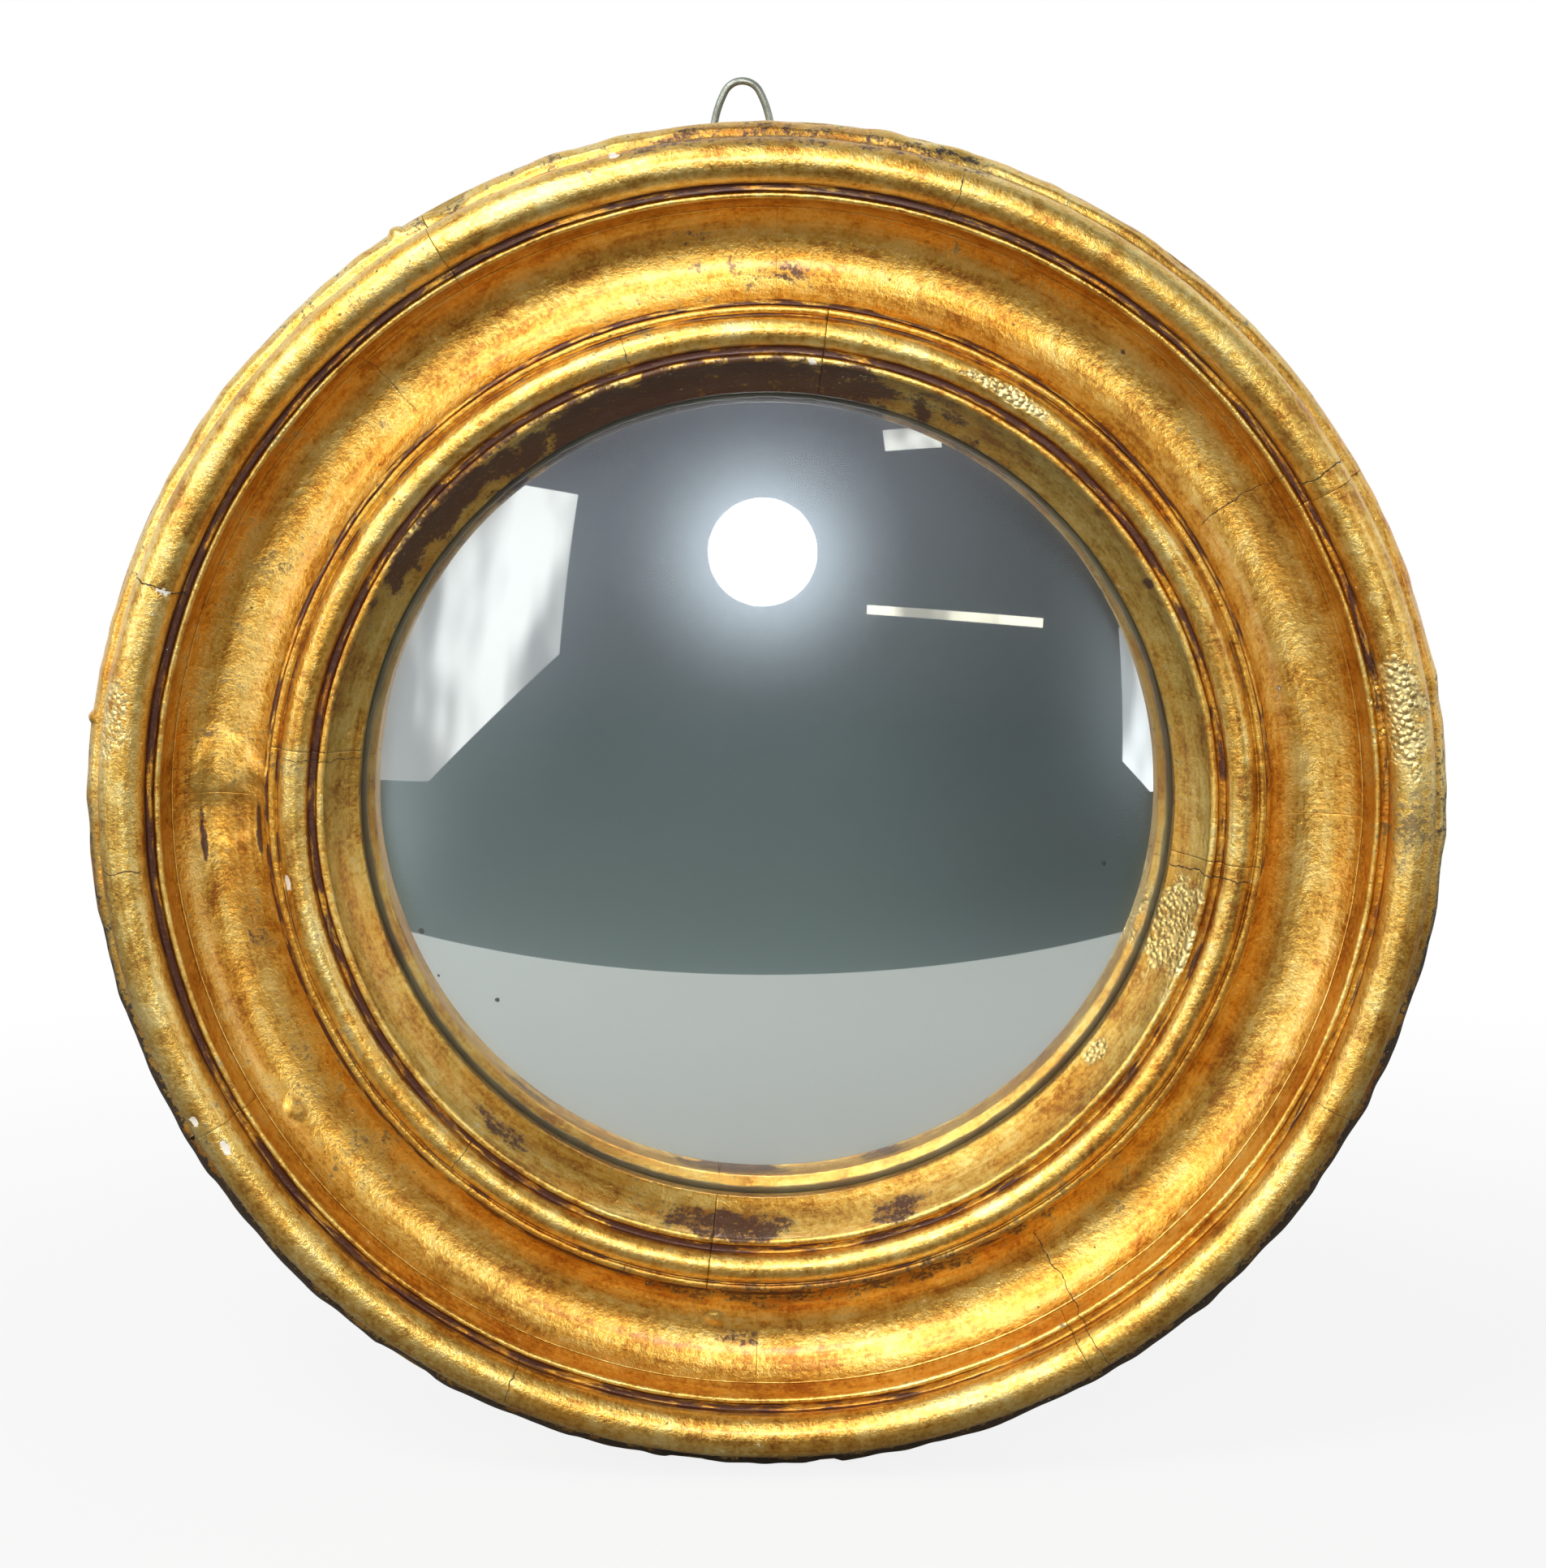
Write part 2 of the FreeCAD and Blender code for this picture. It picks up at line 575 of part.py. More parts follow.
for item in doc.Objects:
    if "Invalid" in item.State or "Error" in item.State:
        raise RuntimeError(f"{item.Name} failed: {item.State}")
os.makedirs("parts", exist_ok=True)
for body in PIECES:
    if body.Shape.isNull() or not body.Shape.isValid():
        raise RuntimeError(f"{body.Label} has no valid shape")
    body.Shape.exportStep(f"parts/{body.Label}.step")
    box = body.Shape.BoundBox
    print(f"{body.Label}: {len(body.Shape.Solids)} solids, {body.Shape.Volume:.1f} mm3, "
          f"x {box.XMin:.2f}..{box.XMax:.2f}, y {box.YMin:.2f}..{box.YMax:.2f}, z {box.ZMin:.2f}..{box.ZMax:.2f}")
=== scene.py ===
"""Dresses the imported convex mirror: a turned, gilded frame, a silvered glass, its board and its hanger.

The classes hold real sizes in millimetres, and meshes are made in metres in the frame's own axes: the front
of the mirror faces -Y, +Z is up, and the origin is the centre of the flat back. A "height" is a distance in
front of that back. Clock angles run clockwise from the top, as seen from the front.
"""

import logging
import math
from dataclasses import dataclass
from enum import Enum
from typing import Iterable, Optional, Union

import bmesh
import bpy
from mathutils import Matrix, Vector, noise

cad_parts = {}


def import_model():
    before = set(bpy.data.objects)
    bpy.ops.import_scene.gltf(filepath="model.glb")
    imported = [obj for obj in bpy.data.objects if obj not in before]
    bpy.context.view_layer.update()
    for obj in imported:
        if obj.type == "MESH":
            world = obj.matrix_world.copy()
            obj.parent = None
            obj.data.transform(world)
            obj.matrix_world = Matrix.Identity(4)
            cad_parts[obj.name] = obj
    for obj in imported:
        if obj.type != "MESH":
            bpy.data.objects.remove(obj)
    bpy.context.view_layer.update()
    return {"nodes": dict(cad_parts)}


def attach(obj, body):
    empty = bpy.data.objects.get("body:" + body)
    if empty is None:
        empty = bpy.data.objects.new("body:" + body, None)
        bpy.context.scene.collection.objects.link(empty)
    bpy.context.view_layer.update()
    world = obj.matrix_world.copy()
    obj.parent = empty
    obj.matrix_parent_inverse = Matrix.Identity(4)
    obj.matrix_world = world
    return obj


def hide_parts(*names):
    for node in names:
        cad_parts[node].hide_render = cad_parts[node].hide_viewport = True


MM = 0.001
LOG = logging.getLogger("convex_mirror")

Colour = tuple[float, float, float]
Output = bpy.types.NodeSocket
Socket = Union[Output, float, tuple]


# ------------------------------------------------------------------ node trees


class Graph:
    """A node tree with short calls for the nodes that the finishes use."""

    def __init__(self, tree: bpy.types.NodeTree) -> None:
        """Empty the tree.

        Args:
            tree: the node tree of a material or of the world.
        """
        tree.nodes.clear()
        self.tree = tree

    def put(self, value: Socket, socket: Output) -> None:
        """Link a socket, or set a plain value.

        Args:
            value: a socket to link, or a number, vector or colour to set.
            socket: the input that gets it.
        """
        if isinstance(value, Output):
            self.tree.links.new(value, socket)
        elif isinstance(value, tuple) and len(value) == 3 and len(socket.default_value) == 4:
            socket.default_value = (*value, 1.0)
        else:
            socket.default_value = value

    def node(self, kind: str, inputs: Optional[dict] = None, **settings: object) -> bpy.types.Node:
        """Add a node.

        Args:
            kind: the node's type, without its ShaderNode prefix.
            inputs: values or sockets by input name or number.
            **settings: properties of the node.

        Returns:
            The new node.
        """
        made = self.tree.nodes.new(f"ShaderNode{kind}")
        for name, value in settings.items():
            setattr(made, name, value)
        for name, value in (inputs or {}).items():
            self.put(value, made.inputs[name])
        return made

    def place(self) -> Output:
        """The object coordinates, in metres."""
        return self.node("TexCoord").outputs["Object"]

    def reading(self, name: str, output: str = "Fac") -> Output:
        """One output of a named mesh attribute."""
        return self.node("Attribute", attribute_name=name).outputs[output]

    def scaled(self, vector: Socket, scale: tuple) -> Output:
        """A vector with each axis scaled."""
        return self.node("Mapping", {"Vector": vector, "Scale": scale}).outputs[0]

    def math(self, operation: str, first: Socket, second: Socket = 0.0, third: Socket = 0.0) -> Output:
        """A sum, product or other Math node."""
        return self.node("Math", {0: first, 1: second, 2: third}, operation=operation).outputs[0]

    def noise(self, vector: Socket, scale: float, detail: float = 3.0, rough: float = 0.5) -> Output:
        """Soft noise, about 0.5 on average."""
        settings = {"Vector": vector, "Scale": scale, "Detail": detail, "Roughness": rough}
        return self.node("TexNoise", settings).outputs[0]

    def cells(self, vector: Socket, scale: float) -> Output:
        """The distance from the nearest of many scattered points."""
        return self.node("TexVoronoi", {"Vector": vector, "Scale": scale}, feature="F1").outputs["Distance"]

    def step(self, value: Socket, low: float, high: float, to_low: float = 0.0,
             to_high: float = 1.0) -> Output:
        """A smooth step from `to_low` at `low` to `to_high` at `high`."""
        inputs = {"Value": value, "From Min": low, "From Max": high, "To Min": to_low, "To Max": to_high}
        return self.node("MapRange", inputs, interpolation_type="SMOOTHSTEP").outputs[0]

    def mix(self, share: Socket, first: Socket, second: Socket, blend: str = "MIX") -> Output:
        """Two colours mixed."""
        inputs = {0: share, 6: first, 7: second}
        return self.node("Mix", inputs, data_type="RGBA", blend_type=blend).outputs[2]

    def ramp(self, value: Socket, stops: Iterable[tuple[float, Colour]]) -> Output:
        """A colour ramp.

        Args:
            value: where on the ramp, from 0 to 1.
            stops: two or more places on the ramp and their colours, in order.

        Returns:
            The colour.
        """
        made = self.node("ValToRGB", {"Fac": value})
        elements = made.color_ramp.elements
        for number, (at, colour) in enumerate(stops):
            element = elements[number] if number < 2 else elements.new(at)
            element.position = at
            element.color = (*colour, 1.0)
        return made.outputs["Color"]

    def bump(self, height: Socket, depth: float) -> Output:
        """A normal from a height, which is `depth` metres deep."""
        return self.node("Bump", {"Height": height, "Distance": depth, "Strength": 1.0}).outputs[0]

    def surface(self, inputs: dict) -> Output:
        """A Principled surface."""
        return self.node("BsdfPrincipled", inputs).outputs[0]

    def finish(self, shader: Output) -> None:
        """Link the last shader to the output."""
        self.node("OutputMaterial", {"Surface": shader})


def new_material(name: str) -> tuple[bpy.types.Material, Graph]:
    """Start a node material.

    Args:
        name: its name.

    Returns:
        The empty material and its graph.
    """
    material = bpy.data.materials.new(name)
    material.use_nodes = True
    return material, Graph(material.node_tree)


# ------------------------------------------------------------------ finishes


class Wear(Enum):
    """What shows through or lies on the leaf at a mark, by the name of its mesh attribute."""

    NONE = "plain"
    GESSO = "gesso"
    BOLE = "bole"
    FRESH = "fresh_leaf"
    GRIME = "grime"


@dataclass(frozen=True)
class Crack:
    """A fine crack across the moulding, at a clock angle in degrees and between two radii in millimetres."""

    clock: float
    inner: float
    outer: float
    half_width: float = 0.09


@dataclass(frozen=True)
class Grain:
    """The noises that the parts of the gilding share, from broad clouds down to grit."""

    place: Output
    lay: Output
    broad: Output
    mottle: Output
    fine: Output
    grit: Output

    @classmethod
    def on(cls, g: Graph) -> "Grain":
        """Make the noises on the object's own coordinates.

        Args:
            g: the material's graph.

        Returns:
            The noises, and the coordinates along and across the moulding.
        """
        place = g.place()
        return cls(
            place=place, lay=g.reading("lay", "Vector"), broad=g.noise(place, 17.0, 3.0, 0.55),
            mottle=g.noise(place, 150.0, 6.0, 0.70), fine=g.noise(place, 800.0, 4.0, 0.65),
            grit=g.noise(place, 3300.0, 2.0, 0.5),
        )


@dataclass(frozen=True)
class Gilding:
    """Water gilding: gold leaf over red bole and gesso, rubbed, toned and dirtied by age, with painted shade
    in its quirks.
    """

    cracks: tuple[Crack, ...] = ()
    fresh: Colour = (0.92, 0.75, 0.33)
    fresh_dark: Colour = (0.50, 0.35, 0.11)
    pale: Colour = (0.92, 0.74, 0.29)
    warm: Colour = (0.74, 0.47, 0.095)
    deep: Colour = (0.43, 0.19, 0.028)
    bole: Colour = (0.058, 0.013, 0.007)
    # Painted shade in the quirks: dark bole darkened as if in shade.
    quirk_shade: Colour = (0.078, 0.020, 0.007)
    grime: Colour = (0.034, 0.020, 0.009)
    gesso: Colour = (0.80, 0.74, 0.64)
    glaze: Colour = (0.84, 0.60, 0.20)
    amber: Colour = (1.0, 0.80, 0.46)
    sheen: float = 0.11
    relief: float = 0.5
    coat: float = 0.42
    coat_roughness: float = 0.24

    def crack_lines(self, g: Graph, place: Output) -> Socket:
        """The cracks, as a mask.

        Args:
            g: the material's graph.
            place: the object coordinates.

        Returns:
            1 in a crack and 0 elsewhere.
        """
        axes = g.node("SeparateXYZ", {0: place}).outputs
        clock = g.math("ARCTAN2", axes[0], axes[2])
        across = g.math("MULTIPLY", axes[2], axes[2])
        radius = g.math("SQRT", g.math("MULTIPLY_ADD", axes[0], axes[0], across))
        wander = g.math("MULTIPLY_ADD", g.noise(place, 170.0, 4.0, 0.6), 3.6 * MM, -1.8 * MM)
        mask: Socket = 0.0
        for crack in self.cracks:
            angle = math.remainder(math.radians(crack.clock), math.tau)
            off = g.math("MULTIPLY_ADD", g.math("SUBTRACT", clock, angle), radius, wander)
            line = g.step(g.math("ABSOLUTE", off), crack.half_width * 2 * MM, crack.half_width * 0.6 * MM)
            from_inner = g.step(radius, crack.inner * MM, (crack.inner + 1.5) * MM)
            to_outer = g.step(radius, crack.outer * MM, (crack.outer - 1.5) * MM)
            line = g.math("MULTIPLY", g.math("MULTIPLY", line, from_inner), to_outer)
            mask = g.math("MAXIMUM", mask, line)
        return mask

    def leaf(self, g: Graph, grain: Grain, fresh: Output) -> Output:
        """The colour of the leaf, in brushed streaks, blotches and grains.

        Args:
            g: the material's graph.
            grain: the shared noises.
            fresh: 1 where the leaf has been renewed and 0 elsewhere.

        Returns:
            The colour.
        """
        streaks = g.noise(g.scaled(grain.lay, (16.0, 300.0, 16.0)), 1.0, 4.0, 0.6)
        hairs = g.noise(g.scaled(grain.lay, (50.0, 1500.0, 50.0)), 1.0, 3.0, 0.6)
        blots = g.noise(grain.place, 48.0, 4.0, 0.6)
        weights = ((streaks, 0.18), (hairs, 0.07), (grain.broad, 0.12), (blots, 0.18), (grain.mottle, 0.25),
                   (grain.fine, 0.20))
        tone: Socket = 0.0
        for part, weight in weights:
            tone = g.math("MULTIPLY_ADD", part, weight, tone)
        leaf = g.ramp(tone, [(0.43, self.deep), (0.49, self.warm), (0.56, self.pale)])
        ambered = g.noise(g.scaled(grain.lay, (26.0, 110.0, 26.0)), 1.0, 5.0, 0.6)
        ambered = g.step(ambered, 0.47, 0.62, 0.0, 0.75)
        leaf = g.mix(ambered, leaf, g.mix(1.0, leaf, self.amber, "MULTIPLY"))
        cloud = g.math("MULTIPLY_ADD", grain.mottle, 0.5, g.math("MULTIPLY", grain.fine, 0.5))
        return g.mix(fresh, leaf, g.mix(g.step(cloud, 0.40, 0.55), self.fresh_dark, self.fresh))

    @staticmethod
    def marked(g: Graph, grain: Grain, wear: Wear, low: float = 0.30, high: float = 0.85) -> Output:
        """A kind of wear, with ragged edges.

        Args:
            g: the material's graph.
            grain: the shared noises.
            wear: the kind of wear.
            low: where its edge begins.
            high: where it is full.

        Returns:
            1 in the marks and 0 elsewhere.
        """
        edge = g.math("MULTIPLY_ADD", grain.fine, 1.6, -0.80)
        ragged = g.math("SUBTRACT", g.math("ADD", g.reading(wear.value), edge), 0.75)
        return g.step(g.math("MULTIPLY_ADD", grain.mottle, 1.5, ragged), low, high)

    def rubbed(self, g: Graph, grain: Grain, fresh: Output) -> Output:
        """Where the leaf is rubbed through to the bole.

        Args:
            g: the material's graph.
            grain: the shared noises.
            fresh: 1 where the leaf has been renewed and 0 elsewhere.

        Returns:
            1 on bare bole and 0 elsewhere.
        """
        worn = g.math("MULTIPLY_ADD", grain.broad, 0.36, g.math("MULTIPLY", grain.mottle, 0.36))
        worn = g.step(g.math("MULTIPLY_ADD", grain.fine, 0.28, worn), 0.555, 0.625, 0.0, 0.80)
        worn = g.math("MAXIMUM", worn, self.marked(g, grain, Wear.BOLE))
        return g.math("MULTIPLY", worn, g.math("MULTIPLY_ADD", fresh, -0.95, 0.95))

    @staticmethod
    def painted_quirk_shade(g: Graph, grain: Grain, hollow: Output) -> Output:
        """Where painted shade darkens the quirks over their dark bole, least at the lower right, where the
        light falls into them.

        Args:
            g: the material's graph.
            grain: the shared noises.
            hollow: how far a point lies in a hollow.

        Returns:
            1 in the painted shade and 0 elsewhere.
        """
        shade_breakup = g.noise(g.scaled(grain.lay, (75.0, 500.0, 75.0)), 1.0, 5.0, 0.65)
        axes = g.node("SeparateXYZ", {0: grain.place}).outputs
        # Painted light: the quirks' shade is lifted towards the lower right, where the light reaches into
        # them.
        lit_lower_right = g.step(g.math("MULTIPLY_ADD", axes[2], -0.5, axes[0]), 0.03, 0.19, 0.0, 0.24)
        dark = g.math("SUBTRACT", g.math("MULTIPLY_ADD", shade_breakup, 1.6, hollow), lit_lower_right)
        return g.step(dark, 1.58, 1.80)

    def dirt(self, g: Graph, grain: Grain, pits: Output, lines: Output) -> Output:
        """Where the surface goes dark: grime in pits and cracks and at its marks, and a dark band on the
        outer rim that grows towards the bottom.

        Args:
            g: the material's graph.
            grain: the shared noises.
            pits: 1 in the pits and 0 elsewhere.
            lines: 1 in the cracks and joints and 0 elsewhere.

        Returns:
            1 where it is dark and 0 elsewhere.
        """
        up = g.node("SeparateXYZ", {0: grain.place}).outputs[2]
        # Darker towards the bottom of the frame.
        low = g.step(up, 0.06, -0.12, 0.30, 1.0)
        across = g.node("SeparateXYZ", {0: grain.lay}).outputs[1]
        outside = g.math("MAXIMUM", g.reading("lip"), g.step(across, 21.0 * MM, 9.0 * MM, 0.0, 0.62))
        specks = g.math("MULTIPLY", grain.fine, 0.45)
        rim = g.math("MULTIPLY_ADD", g.math("MULTIPLY", outside, low), 0.42, specks)
        rim = g.step(g.math("MULTIPLY_ADD", grain.mottle, 0.5, rim), 0.60, 0.78)
        grime = g.math("MAXIMUM", g.math("MAXIMUM", rim, pits), self.marked(g, grain, Wear.GRIME))
        return g.math("MAXIMUM", grime, lines)

    def surface_height(self, g: Graph, grain: Grain, fresh: Output, pits: Output, lines: Output) -> Output:
        """The fine relief of the leaf.

        Args:
            g: the material's graph.
            grain: the shared noises.
            fresh: 1 where the leaf has been renewed and 0 elsewhere.
            pits: 1 in the pits and 0 elsewhere.
            lines: 1 in the cracks and joints and 0 elsewhere.

        Returns:
            The height, in parts of the relief's depth.
        """
        height = g.math("MULTIPLY_ADD", grain.mottle, 0.42, g.math("MULTIPLY", grain.fine, 0.44))
        height = g.math("MULTIPLY_ADD", grain.grit, 0.10, height)
        pebbles = g.math("MULTIPLY", g.step(g.cells(grain.place, 640.0), 0.15, 0.75), fresh)
        for part, share in ((pebbles, -0.75), (pits, -0.25), (lines, -0.5)):
            height = g.math("MULTIPLY_ADD", part, share, height)
        return height

    def material(self) -> bpy.types.Material:
        """Build the node material.

        Returns:
            The gilding, which reads the attributes that HandWork leaves on a mesh.
        """
        material, g = new_material("gilding")
        grain, hollow = Grain.on(g), g.reading("hollow")
        fresh = self.marked(g, grain, Wear.FRESH)
        gesso = self.marked(g, grain, Wear.GESSO, 0.45, 0.55)
        pits = g.step(g.math("MULTIPLY_ADD", grain.fine, 0.10, g.cells(grain.place, 210.0)), 0.155, 0.095)
        pits = g.math("MULTIPLY", pits, g.step(grain.broad, 0.50, 0.60, 0.0, 0.75))
        joints = g.step(g.reading("joint"), 0.3, 1.0, 0.0, 0.8)
        lines = g.math("MAXIMUM", self.crack_lines(g, grain.place), joints)
        # The second mask is painted shade in the quirks.
        bole, quirk_shade = self.rubbed(g, grain, fresh), self.painted_quirk_shade(g, grain, hollow)
        grime = self.dirt(g, grain, pits, lines)
        colour = self.leaf(g, grain, fresh)
        toned = g.math("MULTIPLY", g.step(g.math("MULTIPLY_ADD", grain.broad, 0.5, hollow), 0.30, 0.85), 0.9)
        colour = g.mix(toned, colour, g.mix(1.0, colour, self.glaze, "MULTIPLY"))
        covers = ((bole, self.bole), (quirk_shade, self.quirk_shade), (grime, self.grime), (gesso, self.gesso))
        for share, cover in covers:
            colour = g.mix(share, colour, cover)
        covered = g.math("MULTIPLY", g.math("MAXIMUM", bole, quirk_shade), 0.6)
        covered = g.math("MAXIMUM", g.math("MAXIMUM", covered, grime), gesso)
        roughness = g.math("MULTIPLY_ADD", grain.mottle, 0.22, g.math("MULTIPLY", covered, 0.12))
        roughness = g.math("ADD", g.math("MULTIPLY_ADD", grain.grit, 0.24, roughness), self.sheen)
        height = self.surface_height(g, grain, fresh, pits, lines)
        g.finish(g.surface({
            "Base Color": colour, "Metallic": g.math("MULTIPLY_ADD", covered, -0.85, 0.96),
            "Roughness": roughness, "Normal": g.bump(height, self.relief * MM),
            "Coat Weight": g.math("MULTIPLY_ADD", covered, -0.36, self.coat),
            "Coat Roughness": self.coat_roughness,
        }))
        return material


@dataclass(frozen=True)
class OldWood:
    """Bare wood with growth lines along its grain, darkened by age."""

    name: str
    light: Colour
    dark: Colour
    attribute: Optional[str] = None
    rings: float = 260.0

    def material(self) -> bpy.types.Material:
        """Build the node material.

        Returns:
            The wood.
        """
        material, g = new_material(self.name)
        grain = g.reading(self.attribute, "Vector") if self.attribute else g.place()
        lines = g.noise(g.scaled(grain, (self.rings, self.rings, 9.0)), 1.0, 5.0, 0.6)
        stain = g.noise(grain, 22.0, 3.0, 0.6)
        pores = g.noise(g.scaled(grain, (1900.0, 1900.0, 60.0)), 1.0, 2.0, 0.5)
        tone = g.math("ADD", g.math("MULTIPLY", lines, 0.65), g.math("MULTIPLY", stain, 0.35))
        colour = g.ramp(tone, [(0.36, self.dark), (0.62, self.light)])
        height = g.math("ADD", lines, g.math("MULTIPLY", pores, 0.5))
        g.finish(g.surface({
            "Base Color": colour, "Roughness": g.step(stain, 0.2, 0.8, 0.62, 0.85),
            "Normal": g.bump(height, 0.0003),
        }))
        return material


@dataclass(frozen=True)
class Metal:
    """Plain metal with blotches and a fine grain."""

    name: str
    colour: Colour
    stain: Colour
    roughness: float
    blotch: float = 160.0

    def material(self) -> bpy.types.Material:
        """Build the node material.

        Returns:
            The metal.
        """
        material, g = new_material(self.name)
        place = g.place()
        blotches = g.noise(place, self.blotch, 4.0, 0.6)
        grain = g.noise(place, 2600.0, 2.0, 0.5)
        share = g.step(blotches, 0.45, 0.68)
        g.finish(g.surface({
            "Base Color": g.mix(share, self.colour, self.stain),
            "Metallic": g.step(share, 0.0, 1.0, 0.95, 0.5),
            "Roughness": g.step(grain, 0.2, 0.8, self.roughness - 0.08, self.roughness + 0.12),
            "Normal": g.bump(grain, 0.00004),
        }))
        return material


@dataclass(frozen=True)
class ClearGlass:
    """Old clear glass, a little green, with a haze, dust and hair scratches on its face."""

    tint: Colour = (0.965, 0.985, 0.965)
    haze: Colour = (0.80, 0.84, 0.86)
    haze_share: float = 0.004
    haze_roughness: float = 0.26
    shine: float = 0.03

    def material(self) -> bpy.types.Material:
        """Build the node material.

        Returns:
            The glass.
        """
        material, g = new_material("clear_glass")
        place = g.place()
        dust = g.step(g.cells(place, 330.0), 0.085, 0.05)
        dust = g.math("MULTIPLY", dust, g.step(g.noise(place, 60.0), 0.50, 0.60))
        scratch = g.noise(g.scaled(place, (260.0, 20.0, 45.0)), 1.0, 2.0, 0.4)
        scratch = g.step(g.math("ABSOLUTE", g.math("SUBTRACT", scratch, 0.5)), 0.0016, 0.0004)
        scratch = g.math("MULTIPLY", scratch, g.step(g.noise(place, 38.0), 0.60, 0.66))
        smear = g.noise(g.scaled(place, (30.0, 30.0, 12.0)), 1.0, 3.0, 0.6)
        share = g.step(smear, 0.3, 0.7, self.haze_share * 0.7, self.haze_share * 1.4)
        share = g.math("ADD", share, g.math("MULTIPLY", g.math("MAXIMUM", dust, scratch), 0.22))
        clear = g.surface({"Base Color": self.tint, "Roughness": 0.0, "IOR": 1.5, "Transmission Weight": 1.0,
                           "Specular IOR Level": self.shine})
        hazy = g.surface({"Base Color": self.haze, "Metallic": 1.0, "Roughness": self.haze_roughness})
        g.finish(g.node("MixShader", {0: share, 1: clear, 2: hazy}).outputs[0])
        return material


@dataclass(frozen=True)
class Silver:
    """The silvering, seen through the glass, with a few black spots where it has gone.

    The spots are (x, z, radius) in millimetres.
    """

    colour: Colour = (0.90, 0.915, 0.905)
    loss: Colour = (0.015, 0.013, 0.012)
    bloom: Colour = (0.77, 0.88, 1.0)
    # The rim colour is partly tarnish and partly painted light for the lit edge of the glass.
    rim: Colour = (0.24, 0.22, 0.16)
    rim_radius: float = 104.2
    bloom_share: float = 0.25
    bloom_roughness: float = 0.24
    spots: tuple[tuple[float, float, float], ...] = ()

    def material(self) -> bpy.types.Material:
        """Build the node material.

        Returns:
            The silvering.
        """
        material, g = new_material("silver")
        place = g.place()
        ragged = g.math("MULTIPLY_ADD", g.noise(place, 1500.0), 0.5 * MM, -0.25 * MM)
        speckle = g.step(g.cells(place, 62.0), 0.028, 0.016)
        speckle = g.math("MULTIPLY", speckle, g.step(g.noise(place, 25.0), 0.5, 0.55))
        axes = g.node("SeparateXYZ", {0: place}).outputs
        for x, z, radius in self.spots:
            across = g.math("SUBTRACT", axes[0], x * MM)
            up = g.math("SUBTRACT", axes[2], z * MM)
            away = g.math("SQRT", g.math("MULTIPLY_ADD", across, across, g.math("MULTIPLY", up, up)))
            spot = g.step(g.math("ADD", away, ragged), radius * 1.2 * MM, radius * 0.9 * MM)
            speckle = g.math("MAXIMUM", speckle, spot)
        out = g.math("SQRT", g.math("MULTIPLY_ADD", axes[0], axes[0], g.math("MULTIPLY", axes[2], axes[2])))
        out = g.math("MULTIPLY_ADD", g.noise(place, 130.0), 1.2 * MM, out)
        # Partly painted light: this grey-green ring stands for the lit glass edge as well as tarnished
        # silver.
        worn = g.step(out, self.rim_radius * MM, (self.rim_radius + 0.9) * MM)
        colour = g.mix(worn, g.mix(speckle, self.colour, self.loss), self.rim)
        clean = g.surface({
            "Base Color": colour, "Metallic": g.step(worn, 0.0, 1.0, 1.0, 0.25),
            "Roughness": g.step(g.math("MAXIMUM", worn, speckle), 0.0, 1.0, 0.012, 0.5),
        })
        bloomed = g.surface({"Base Color": self.bloom, "Metallic": 1.0, "Roughness": self.bloom_roughness})
        g.finish(g.node("MixShader", {0: self.bloom_share, 1: clean, 2: bloomed}).outputs[0])
        return material


# ------------------------------------------------------------------ turned sections


